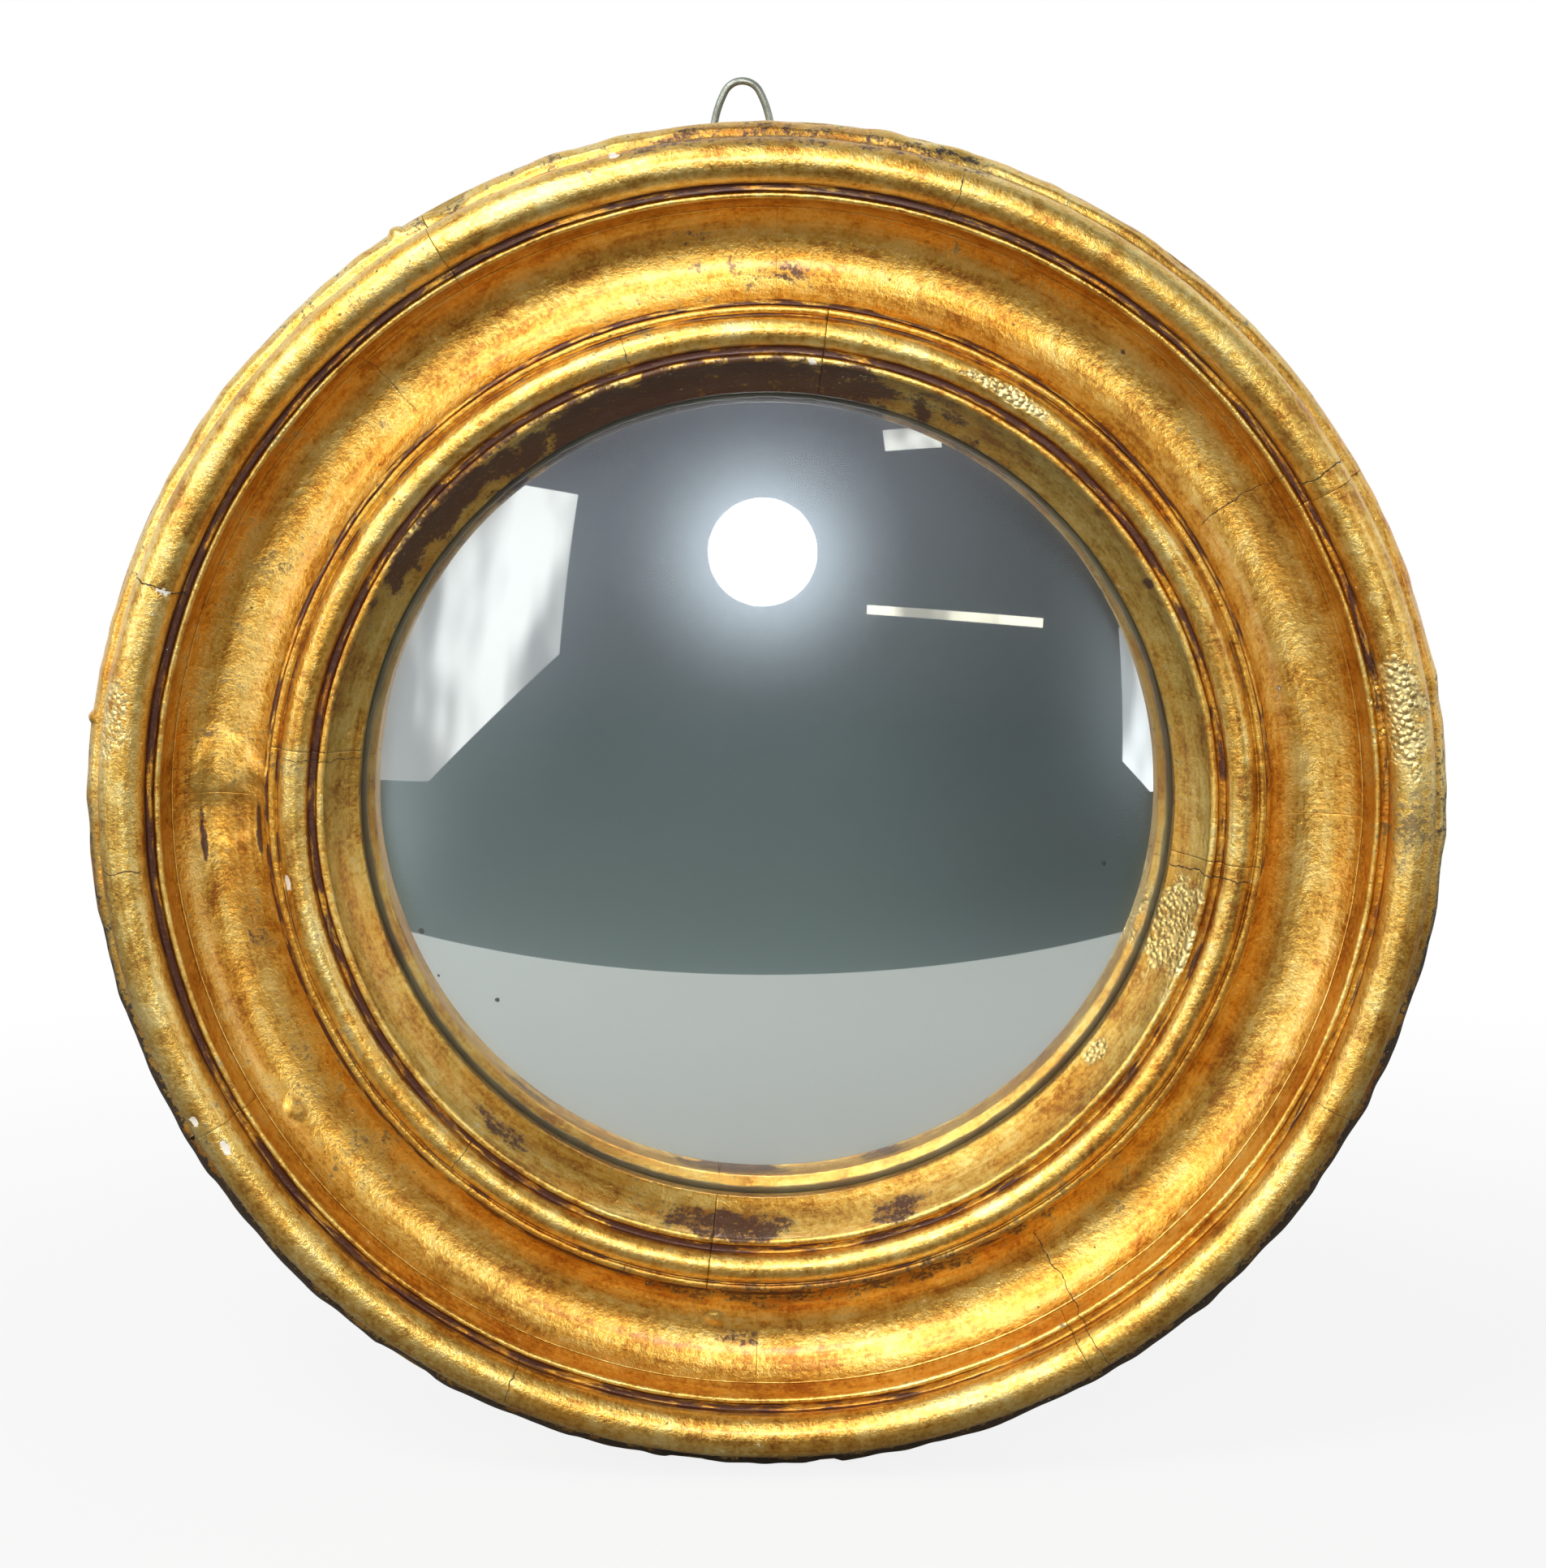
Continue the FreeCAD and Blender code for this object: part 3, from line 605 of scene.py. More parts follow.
class Section:
    """A closed section of a turned piece, drawn step by step in the plane x = 0 and turned round the Y axis.

    Each point carries its running length across the moulding ("run"), how far it lies in a hollow ("hollow")
    and whether the surface there is bare wood ("bare").
    """

    def __init__(self, radius: float, height: float, run: float = 0.0, pitch: float = 0.6) -> None:
        """Start a section.

        Args:
            radius: radius of the first point, in millimetres.
            height: height of the first point.
            run: the first point's running length across the moulding.
            pitch: distance between points where the section is seen.
        """
        self.bm = bmesh.new()
        layers = self.bm.verts.layers.float
        self.run_layer = layers.new("run")
        self.hollow_layer = layers.new("hollow")
        self.bare_layer = layers.new("bare")
        self.pitch = pitch
        self.soft: list[bmesh.types.BMVert] = []
        self.seen_run = run
        self.tip = self.bm.verts.new(self.place(radius, height))
        self.tip[self.run_layer] = run

    @staticmethod
    def place(radius: float, height: float) -> Vector:
        """A section point in metres."""
        return Vector((0.0, -height * MM, radius * MM))

    def _mark(self, vertex: bmesh.types.BMVert, before: bmesh.types.BMVert, hollow: float,
              bare: bool) -> None:
        """Set a new point's layers from the point before it.

        Args:
            vertex: the new point.
            before: the point before it.
            hollow: how far the new one lies in a hollow, from 0 to 1.
            bare: whether it is on bare wood.
        """
        vertex[self.run_layer] = before[self.run_layer] + (vertex.co - before.co).length / MM
        vertex[self.hollow_layer] = hollow
        vertex[self.bare_layer] = 1.0 if bare else 0.0

    def line(self, radius: float, height: float, hollow: float = 0.0, bare: bool = False,
             steps: int = 0) -> "Section":
        """Draw a straight run.

        Args:
            radius: radius of its end.
            height: height of its end.
            hollow: how far its points lie in a hollow, from 0 to 1.
            bare: whether it is bare wood.
            steps: number of steps, or 0 for the section's pitch.

        Returns:
            The section itself.
        """
        target = self.place(radius, height)
        across = target - self.tip.co
        count = steps or max(1, round(across.length / MM / self.pitch))
        for _ in range(count):
            before = self.tip
            self.tip = bmesh.ops.extrude_vert_indiv(self.bm, verts=[before])["verts"][0]
            self.tip.co = before.co + across / count
            self._mark(self.tip, before, hollow, bare)
            if not bare:
                self.soft.append(self.tip)
        return self

    def arc(self, radius: float, height: float, centre: tuple[float, float],
            hollow: float = 0.0) -> "Section":
        """Draw an arc of under half a turn.

        Args:
            radius: radius of its end.
            height: height of its end.
            centre: radius and height of its centre.
            hollow: how far its points lie in a hollow, from 0 to 1.

        Returns:
            The section itself.
        """
        middle = self.place(*centre)
        start, end = self.tip.co - middle, self.place(radius, height) - middle
        angle = math.atan2(start.cross(end).x, start.dot(end))
        count = max(2, round(abs(angle) * start.length / MM / self.pitch))
        for _ in range(count):
            before = self.tip
            made = bmesh.ops.spin(self.bm, geom=[before], cent=middle, axis=(1, 0, 0), dvec=(0, 0, 0),
                                  angle=angle / count, steps=1)
            self.tip = next(item for item in made["geom_last"] if isinstance(item, bmesh.types.BMVert))
            self._mark(self.tip, before, hollow, False)
            self.soft.append(self.tip)
        return self

    def soften(self, times: int) -> "Section":
        """Round the corners of the gilded run, as coats of gesso do, and note where that run ends.

        Args:
            times: how many times.

        Returns:
            The section itself.
        """
        kept = self.soft[1:-1]
        self.seen_run = self.tip[self.run_layer]
        for _ in range(times):
            bmesh.ops.smooth_vert(self.bm, verts=kept, factor=0.5, use_axis_x=True, use_axis_y=True,
                                  use_axis_z=True)
        return self

    def turn(self, start: float, sweep: float, steps: int) -> bmesh.types.BMesh:
        """Turn the section into a closed piece.

        Args:
            start: clock angle where it begins, in degrees.
            sweep: angle that it covers.
            steps: number of steps.

        Returns:
            The mesh, its normals outwards.
        """
        bm, whole = self.bm, sweep >= 360.0
        bmesh.ops.remove_doubles(bm, verts=bm.verts[:], dist=1e-6)
        to_start = Matrix.Rotation(math.radians(start), 3, "Y")
        bmesh.ops.rotate(bm, verts=bm.verts[:], cent=(0, 0, 0), matrix=to_start)
        bmesh.ops.spin(bm, geom=bm.verts[:] + bm.edges[:], cent=(0, 0, 0), axis=(0, 1, 0), dvec=(0, 0, 0),
                       angle=math.radians(sweep), steps=steps, use_merge=whole)
        if whole:
            bmesh.ops.remove_doubles(bm, verts=bm.verts[:], dist=1e-7)
        else:
            bmesh.ops.holes_fill(bm, edges=[edge for edge in bm.edges if edge.is_boundary], sides=0)
        bmesh.ops.recalc_face_normals(bm, faces=bm.faces[:])
        return bm


def to_object(bm: bmesh.types.BMesh, name: str, materials: list[bpy.types.Material]) -> bpy.types.Object:
    """Turn a mesh in progress into a smooth-shaded object at the origin.

    Args:
        bm: the mesh, which is freed.
        name: the piece's name.
        materials: its material slots.

    Returns:
        The object, linked to the scene.
    """
    mesh = bpy.data.meshes.new(name)
    bm.to_mesh(mesh)
    bm.free()
    for material in materials:
        mesh.materials.append(material)
    mesh.shade_smooth()
    made = bpy.data.objects.new(name, mesh)
    bpy.context.scene.collection.objects.link(made)
    return made


# ------------------------------------------------------------------ the maker's and the years' marks


@dataclass(frozen=True)
class Mark:
    """A knock, lump or worn patch at a clock angle and radius, in degrees and millimetres.

    The length runs round the frame and the width across it, both from the middle. A depth below zero is a
    lump.
    """

    clock: float
    radius: float
    length: float
    width: float
    depth: float = 0.0
    wear: Wear = Wear.NONE
    share: float = 1.0


@dataclass
class HandWork:
    """The unevenness of a frame turned, gessoed and gilded by hand, and its knocks."""

    marks: tuple[Mark, ...] = ()
    coarse: float = 0.40
    medium: float = 0.15
    small: float = 0.05
    lip_work: float = 0.75
    lip_run: float = 8.0
    shrink: float = 0.0020
    settle: float = 0.010
    flat_height: float = 9.0
    free_height: float = 14.0
    notch: float = 0.10
    notch_width: float = 0.14
    joint_angle: float = 1e-5
    lay_radius: float = 145.0
    seed: int = 7

    def __post_init__(self) -> None:
        """Fix the noise's random offsets, so that every run gives the same frame."""
        noise.seed_set(self.seed)

    def free(self, place: Vector) -> float:
        """How free a point is to move: 0 at the flat back and the glass's seat, 1 at the front."""
        height = -place.y / MM
        return min(1.0, max(0.0, (height - self.flat_height) / (self.free_height - self.flat_height)))

    def shift(self, place: Vector, lip: float) -> Vector:
        """How far a point of the ideal frame has moved, in metres.

        Args:
            place: the point, in metres.
            lip: 1 on the thin outer lip, which is the most knocked, and 0 elsewhere.

        Returns:
            The move, which fades out towards the flat back and the glass's seat.
        """
        move = noise.noise_vector(place * 13.0) * self.coarse
        move += noise.noise_vector(place * 62.0) * self.medium
        move += noise.noise_vector(place * 300.0) * self.small
        if lip > 0.0:
            move += noise.noise_vector(place * 105.0) * (self.lip_work * lip)
        inwards = Vector((-place.x * self.shrink, -place.y * self.settle, -place.z * self.shrink))
        return (move * MM + inwards) * self.free(place)

    def work(self, bm: bmesh.types.BMesh, start: float, sweep: float, seam: float) -> None:
        """Give a turned quarter its unevenness, marks and joints, and its surface coordinates.

        Args:
            bm: the quarter.
            start: clock angle where it begins.
            sweep: angle that it covers.
            seam: how far its end joints show, from 0 to 1.
        """
        self._line_joint_edges(bm, start, sweep)
        layers = bm.verts.layers
        lay, grain = layers.float_vector.new("lay"), layers.float_vector.new("grain")
        joint, lip = layers.float.new("joint"), layers.float.new("lip")
        wears = {wear: layers.float.new(wear.value) for wear in Wear if wear is not Wear.NONE}
        run, bare = layers.float["run"], layers.float["bare"]
        bm.normal_update()
        to_grain = Matrix.Rotation(-math.radians(start + sweep / 2), 3, "Y")
        ends = [math.radians(start), math.radians(start + sweep)]
        places = []
        for vertex in bm.verts:
            place = vertex.co.copy()
            radius, clock = math.hypot(place.x, place.z), math.atan2(place.x, place.z)
            round_frame = self.lay_radius * MM / radius
            vertex[lay] = Vector((place.x * round_frame, vertex[run] * MM, place.z * round_frame))
            flat = to_grain @ place
            vertex[grain] = Vector((flat.y + start * MM, flat.z, flat.x))
            if vertex[bare] > 0.5:
                places.append(place + self.shift(place, 0.0))
                continue
            vertex[lip] = min(1.0, max(0.0, 1.4 - vertex[run] / self.lip_run))
            away = min(abs(math.remainder(clock - end, math.tau)) for end in ends)
            vertex[joint] = seam if away < self.joint_angle else 0.0
            depth = self._notched(place) * seam if away < self.joint_angle else 0.0
            for mark in self.marks:
                share = self._share(mark, place, radius / MM, clock)
                if share > 0.0:
                    depth += mark.depth * min(1.0, share * 1.6)
                    if mark.wear is not Wear.NONE:
                        worn = wears[mark.wear]
                        vertex[worn] = max(vertex[worn], min(1.0, share * 2.0) * mark.share)
            inwards = vertex.normal * (depth * self.free(place) * MM)
            places.append(place + self.shift(place, vertex[lip]) - inwards)
        for vertex, place in zip(bm.verts, places):
            vertex.co = place
        for face in bm.faces:
            face.material_index = 1 if all(vertex[bare] > 0.5 for vertex in face.verts) else 0

    def _notched(self, place: Vector) -> float:
        """Depth of the hairline at a joint, which opens and closes along its length."""
        return self.notch * (0.3 + 1.4 * abs(noise.noise(place * 160.0)))

    @staticmethod
    def _share(mark: Mark, place: Vector, radius: float, clock: float) -> float:
        """How deep inside a mark a point lies.

        Args:
            mark: the mark.
            place: the point, in metres.
            radius: its distance from the mirror's axis, in millimetres.
            clock: its clock angle, in radians.

        Returns:
            0 at the mark's ragged edge and outside it, up to 1 in its middle.
        """
        across = (radius - mark.radius) / mark.width
        if abs(across) > 1.3:
            return 0.0
        along = math.remainder(clock - math.radians(mark.clock), math.tau) * radius / mark.length
        if abs(along) > 1.3:
            return 0.0
        return max(0.0, 1.0 - math.hypot(along, across) + 0.35 * noise.noise(place * 190.0))

    def _line_joint_edges(self, bm: bmesh.types.BMesh, start: float, sweep: float) -> None:
        """Add a line of vertices close to each end, so that the joint can be a fine notch.

        Args:
            bm: the quarter.
            start: clock angle where it begins.
            sweep: angle that it covers.
        """
        inset = self.notch_width / self.lay_radius
        for angle, side in ((math.radians(start) + inset, 1.0), (math.radians(start + sweep) - inset, -1.0)):
            along = Vector((math.cos(angle), 0.0, -math.sin(angle))) * side
            near = Vector((math.sin(angle), 0.0, math.cos(angle)))
            faces = [face for face in bm.faces
                     if len(face.verts) == 4 and near.dot(face.calc_center_median()) > 0.0]
            edges = {edge for face in faces for edge in face.edges}
            verts = {vertex for face in faces for vertex in face.verts}
            bmesh.ops.bisect_plane(bm, geom=[*verts, *edges, *faces], dist=1e-7, plane_co=(0, 0, 0),
                                   plane_no=along)


MARKS = (
    Mark(80.5, 164.0, 22.0, 8.5, 0.0, Wear.FRESH, 0.95),
    Mark(107.5, 111.0, 19.0, 8.5, 0.0, Wear.FRESH, 0.85),
    Mark(127.8, 108.7, 5.0, 2.4, 0.0, Wear.FRESH),
    Mark(30.0, 122.8, 16.0, 2.6, 0.12, Wear.FRESH),
    Mark(278.0, 168.0, 16.0, 5.0, 0.0, Wear.FRESH, 0.55),
    # The next two bole marks, across the top of the sight slope, are partly bare bole and partly painted
    # shade and dark reflection, where the slope faces down.
    Mark(350.0, 109.6, 88.0, 9.5, 0.0, Wear.BOLE, 1.0),
    Mark(314.0, 112.0, 44.0, 5.2, 0.0, Wear.BOLE, 0.95),
    Mark(186.0, 112.2, 25.0, 4.4, 0.1, Wear.BOLE, 0.86),
    Mark(162.0, 112.5, 10.0, 3.6, 0.1, Wear.BOLE, 0.78),
    Mark(218.0, 111.0, 16.0, 2.4, 0.0, Wear.BOLE, 0.7),
    Mark(266.5, 146.5, 10.0, 1.1, 0.30, Wear.BOLE, 0.95),
    Mark(256.0, 137.0, 14.0, 5.0, 0.1, Wear.BOLE, 0.55),
    Mark(267.0, 131.8, 9.0, 1.1, 0.30, Wear.BOLE, 0.95),
    Mark(2.0, 137.0, 13.0, 4.5, 0.0, Wear.BOLE, 0.58),
    Mark(352.0, 147.0, 9.0, 3.0, 0.0, Wear.BOLE, 0.55),
    Mark(172.0, 130.0, 88.0, 5.5, 0.0, Wear.BOLE, 0.60),
    Mark(2.0, 171.8, 75.0, 4.0, 0.0, Wear.BOLE, 0.58),
    Mark(318.0, 115.6, 42.0, 1.6, 0.0, Wear.BOLE, 0.75),
    Mark(183.0, 143.0, 8.0, 3.5, 0.1, Wear.BOLE, 0.6),
    Mark(37.9, 148.0, 1.3, 1.0, 0.1, Wear.BOLE),
    Mark(59.5, 113.5, 2.0, 1.6, 0.15, Wear.BOLE, 0.8),
    Mark(260.8, 125.6, 2.8, 1.3, 0.35, Wear.GESSO),
    Mark(5.7, 115.0, 1.5, 1.2, 0.25, Wear.GESSO),
    Mark(241.6, 168.6, 2.2, 1.5, 0.5, Wear.GESSO),
    Mark(238.0, 165.0, 3.0, 1.0, 0.3, Wear.GESSO, 0.9),
    Mark(290.4, 164.0, 1.5, 4.0, 0.15, Wear.GESSO, 0.62),
    Mark(347.0, 171.0, 1.6, 0.9, 0.2, Wear.GESSO),
    Mark(234.0, 172.6, 34.0, 3.0, 0.3, Wear.GRIME, 0.60),
    Mark(190.0, 172.6, 40.0, 3.0, 0.3, Wear.GRIME, 0.60),
    Mark(128.0, 171.8, 46.0, 4.0, 0.1, Wear.GRIME, 0.62),
    Mark(16.0, 173.4, 10.0, 1.6, 0.5, Wear.GRIME, 0.8),
    Mark(277.8, 175.0, 1.3, 1.5, -1.0),
    Mark(327.6, 174.8, 2.2, 1.7, -1.3),
    Mark(332.5, 174.2, 9.0, 2.8, 1.1, Wear.GRIME, 0.5),
    Mark(175.0, 174.4, 5.0, 2.5, 0.9),
    Mark(187.0, 174.4, 6.0, 2.5, 0.8),
    Mark(213.0, 174.4, 9.0, 2.2, 0.7),
    Mark(236.9, 147.8, 3.6, 2.4, -0.7),
    Mark(185.8, 138.2, 2.6, 2.0, -0.6),
    Mark(274.0, 141.0, 9.0, 12.0, -0.75),
    Mark(268.8, 141.0, 7.0, 11.0, 0.55),
)

LOST_SILVER = ((-90.3, -35.1, 0.8), (-70.5, -53.0, 0.6), (87.8, -16.9, 0.7), (-86.0, -47.0, 0.35))

CRACKS = (
    Crack(290.6, 157.5, 172.5, 0.14),
    Crack(264.7, 160.0, 172.0, 0.10),
    Crack(56.8, 132.0, 158.0, 0.07),
    Crack(58.2, 158.0, 172.0, 0.12),
    Crack(17.0, 157.0, 170.0, 0.07),
    Crack(118.0, 160.0, 171.0, 0.06),
    Crack(148.5, 133.0, 172.0, 0.08),
    Crack(204.0, 158.0, 170.0, 0.07),
    Crack(318.5, 134.0, 155.0, 0.05),
    Crack(275.9, 103.0, 125.0, 0.06),
    Crack(98.9, 105.0, 127.0, 0.10),
    Crack(221.0, 116.0, 126.5, 0.07),
    Crack(343.0, 118.0, 127.0, 0.06),
)


# ------------------------------------------------------------------ the frame


def half_width(centre: float, radius: float, height: float) -> float:
    """Half the width of a round moulding at a height."""
    return math.sqrt(radius ** 2 - (centre - height) ** 2)


class Layer(Enum):
    """The frame's three turned rings."""

    FRONT = "front_ring"
    BACK = "back_ring"
    SLIP = "slip"


@dataclass
class GiltFrame:
    """The frame: a front ring, a back ring and a slip, each glued up from four quarters."""

    gilding: bpy.types.Material
    wood: bpy.types.Material
    hand: HandWork
    rebate_radius: float = 108.8
    rebate_height: float = 8.0
    sight_radius: float = 106.0
    sight_height: float = 12.5
    slope_width: float = 8.5
    slope_top: float = 24.4
    slope_curve: float = 40.0
    slip_fillet_width: float = 1.9
    slip_fillet_height: float = 25.0
    slip_quirk_width: float = 2.2
    slip_quirk_floor: float = 23.5
    slip_bead_radius: float = 3.8
    slip_bead_centre: float = 24.4
    slip_groove: float = 0.7
    shoulder_width: float = 1.85
    shoulder_height: float = 25.2
    shoulder_wall: float = 4.0
    flange_width: float = 5.25
    flange_thickness: float = 8.0
    seam_gap: float = 0.15
    layer_height: float = 24.0
    cove_ledge: float = 0.57
    cove_inner_height: float = 22.5
    cove_dark_drop: float = 1.1
    cove_centre: float = 32.1
    cove_radius: float = 15.0
    side_inset: float = 3.5
    side_taper: float = 3.5
    fillet_width: float = 1.61
    fillet_height: float = 31.0
    fillet_drop: float = 0.7
    quirk_width: float = 2.25
    quirk_floor: float = 29.6
    bead_radius: float = 5.85
    bead_centre: float = 32.0
    lip_width: float = 3.84
    lip_edge: float = 2.0
    lip_rise: float = 3.2
    lip_quirk: float = 1.0
    quarter: float = 90.0
    steps: int = 300
    pitch: float = 0.48
    softening: int = 2

    def __post_init__(self) -> None:
        """Work out the radii, from the sight edge outwards."""
        self.slope_outside = self.sight_radius + self.slope_width
        self.slip_fillet_outside = self.slope_outside + self.slip_fillet_width
        self.slip_quirk_outside = self.slip_fillet_outside + self.slip_quirk_width
        self.slip_bead_circle = self.slip_quirk_outside + self.slip_bead_radius
        self.shoulder_inside = self.slip_bead_circle + self.slip_bead_radius + self.slip_groove
        self.slip_outside = self.shoulder_inside + self.shoulder_width
        self.flange_outside = self.slip_outside + self.flange_width
        self.ring_bore = self.slip_outside + self.seam_gap
        self.cove_start = self.fillet_height - self.fillet_drop
        self.cove_inside = self.ring_bore + self.cove_ledge
        self.cove_dark_height = self.cove_inner_height - self.cove_dark_drop
        cove = (self.cove_centre, self.cove_radius)
        self.cove_circle = self.cove_inside + half_width(*cove, self.cove_inner_height)
        self.cove_near_inside = self.cove_circle - half_width(*cove, self.cove_dark_height)
        self.cove_at_layer = self.cove_circle + half_width(*cove, self.layer_height)
        self.cove_outside = self.cove_circle + half_width(*cove, self.cove_start)
        self.fillet_outside = self.cove_outside + self.fillet_width
        self.quirk_outside = self.fillet_outside + self.quirk_width
        self.bead_circle = self.quirk_outside + self.bead_radius
        self.lip_crest = self.layer_height + self.lip_edge + self.lip_rise
        self.bead_foot = self.lip_crest + self.lip_quirk
        self.lip_inside = self.bead_circle + half_width(self.bead_centre, self.bead_radius, self.bead_foot)
        self.frame_outside = self.lip_inside + self.lip_width

    def front_section(self, run: float) -> Section:
        """The section of the front ring, from the outside over the bead and down into the cove.

        Args:
            run: the running length across the moulding where it starts.

        Returns:
            The section.
        """
        section = Section(self.frame_outside, self.layer_height, run, self.pitch)
        bead, cove = (self.bead_circle, self.bead_centre), (self.cove_circle, self.cove_centre)
        section.line(self.frame_outside, self.layer_height + self.lip_edge)
        section.line(self.frame_outside - self.lip_width * 0.4, self.lip_crest - 0.5)
        section.line(self.lip_inside, self.lip_crest, hollow=0.3)
        section.line(self.lip_inside, self.bead_foot, hollow=0.8)
        section.arc(self.bead_circle, self.bead_centre + self.bead_radius, bead)
        section.arc(self.quirk_outside, self.bead_centre, bead)
        section.line(self.quirk_outside, self.quirk_floor, hollow=1.0)
        section.line(self.fillet_outside, self.quirk_floor, hollow=1.0)
        section.line(self.fillet_outside, self.fillet_height, hollow=0.6)
        section.line(self.cove_outside, self.fillet_height)
        section.line(self.cove_outside, self.cove_start)
        section.arc(self.cove_at_layer, self.layer_height, cove, hollow=0.34)
        section.soften(self.softening)
        return section.line(self.frame_outside, self.layer_height, bare=True, steps=3)

    def back_section(self, run: float) -> Section:
        """The section of the back ring, from the cove inwards, round its rebate and back, and up the side.

        Args:
            run: the running length across the moulding where it starts.

        Returns:
            The section.
        """
        section = Section(self.cove_at_layer, self.layer_height, run, self.pitch)
        cove = (self.cove_circle, self.cove_centre)
        side = self.frame_outside - self.side_inset
        flange_bore = self.flange_outside + self.seam_gap
        section.arc(self.cove_near_inside, self.cove_dark_height, cove, hollow=0.34)
        section.arc(self.cove_inside, self.cove_inner_height, cove, hollow=0.95)
        section.line(self.ring_bore, self.cove_inner_height, hollow=1.0)
        section.soften(self.softening)
        section.line(self.ring_bore, self.flange_thickness, bare=True, steps=2)
        section.line(flange_bore, self.flange_thickness, bare=True, steps=1)
        section.line(flange_bore, 0.0, bare=True, steps=2)
        section.line(side - self.side_taper, 0.0, bare=True, steps=12)
        section.line(side, self.layer_height, hollow=0.35, steps=16)
        return section.line(self.cove_at_layer, self.layer_height, bare=True, steps=3)

    def slip_section(self, run: float) -> Section:
        """The section of the slip, from its shoulder over the bead, down the sight edge and round the back.

        Args:
            run: the running length across the moulding where it starts.

        Returns:
            The section.
        """
        section = Section(self.slip_outside, self.shoulder_height - self.shoulder_wall, run, self.pitch)
        bead = (self.slip_bead_circle, self.slip_bead_centre)
        bead_outside = self.slip_bead_circle + self.slip_bead_radius
        section.line(self.slip_outside, self.shoulder_height, hollow=0.8)
        section.line(self.shoulder_inside, self.shoulder_height, hollow=0.42)
        section.line(self.shoulder_inside, self.slip_bead_centre, hollow=0.9)
        section.line(bead_outside, self.slip_bead_centre, hollow=1.0)
        section.arc(self.slip_bead_circle, self.slip_bead_centre + self.slip_bead_radius, bead)
        section.arc(self.slip_quirk_outside, self.slip_bead_centre, bead)
        section.line(self.slip_quirk_outside, self.slip_quirk_floor, hollow=1.0)
        section.line(self.slip_fillet_outside, self.slip_quirk_floor, hollow=1.0)
        section.line(self.slip_fillet_outside, self.slip_fillet_height, hollow=0.6)
        section.line(self.slope_outside, self.slip_fillet_height)
        section.line(self.slope_outside, self.slope_top, hollow=0.2)
        section.arc(self.sight_radius, self.sight_height, self._slope_centre(), hollow=0.34)
        section.line(self.sight_radius, self.rebate_height, hollow=0.3)
        section.soften(self.softening)
        section.line(self.rebate_radius, self.rebate_height, bare=True, steps=2)
        section.line(self.rebate_radius, 0.0, bare=True, steps=3)
        section.line(self.flange_outside, 0.0, bare=True, steps=8)
        section.line(self.flange_outside, self.flange_thickness, bare=True, steps=2)
        section.line(self.slip_outside, self.flange_thickness, bare=True, steps=2)
        return section.line(self.slip_outside, self.shoulder_height - self.shoulder_wall, bare=True, steps=2)

    def _slope_centre(self) -> tuple[float, float]:
        """Find the centre of the sight edge's shallow hollow.

        Returns:
            Its radius and height.
        """
        top = Vector((self.slope_outside, self.slope_top))
        foot = Vector((self.sight_radius, self.sight_height))
        chord = foot - top
        reach = math.sqrt(self.slope_curve ** 2 - (chord.length / 2) ** 2)
        out = Vector((chord.y, -chord.x)).normalized()
        centre = (top + foot) / 2 + out * reach
        return centre.x, centre.y

    def build(self) -> list[bpy.types.Object]:
        """Make the twelve gilded quarters, each in place of its plain one.

        Returns:
            The quarters.
        """
        sides = ("right", "bottom", "left", "top")
        corners = ("upper_right", "lower_right", "lower_left", "upper_left")
        rings = (
            (Layer.FRONT, self.front_section, 60.0, 0.65, sides),
            (Layer.BACK, self.back_section, 1.0, 0.25, corners),
            (Layer.SLIP, self.slip_section, 7.0, 0.85, corners),
        )
        made, run = [], 0.0
        for layer, draw, joint, seam, places in rings:
            start_run = run
            for number, place in enumerate(places):
                start = joint + self.quarter * number
                section = draw(start_run)
                run = section.seen_run
                bm = section.turn(start, self.quarter, self.steps)
                self.hand.work(bm, start, self.quarter, seam)
                node = f"{layer.value}_{place}"
                piece = to_object(bm, f"gilt_{node}", [self.gilding, self.wood])
                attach(piece, "frame")
                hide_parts(node)
                made.append(piece)
                LOG.info("%s: %d faces", piece.name, len(piece.data.polygons))
        return made


# ------------------------------------------------------------------ the glass


@dataclass
class MirrorGlass:
    """The bulging glass, silvered behind."""

    clear: bpy.types.Material
    silver: bpy.types.Material
    radius: float = 108.4
    curve: float = 340.0
    thickness: float = 2.0
    rebate_height: float = 7.95
    sight_radius: float = 106.0
    pitch: float = 1.4
    steps: int = 240

    def build(self) -> bpy.types.Object:
        """Make the glass in place of its plain one.

        Returns:
            The glass.
        """
        centre = (0.0, self.rebate_height - math.sqrt(self.curve ** 2 - self.sight_radius ** 2))
        inner = self.curve - self.thickness
        front_rim = centre[1] + math.sqrt(self.curve ** 2 - self.radius ** 2)
        back_rim = centre[1] + math.sqrt(inner ** 2 - self.radius ** 2)
        section = Section(0.0, centre[1] + self.curve, pitch=self.pitch)
        section.arc(self.radius, front_rim, centre)
        section.line(self.radius, back_rim, steps=2)
        section.arc(0.0, centre[1] + inner, centre)
        bm = section.turn(0.0, 360.0, self.steps)
        for face in bm.faces:
            face.material_index = 1 if face.normal.y > 0.5 else 0
        piece = to_object(bm, "silvered_glass", [self.clear, self.silver])
        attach(piece, "frame")
        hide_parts("convex_glass")
        LOG.info("%s: %d faces", piece.name, len(piece.data.polygons))
        return piece


# ------------------------------------------------------------------ the studio


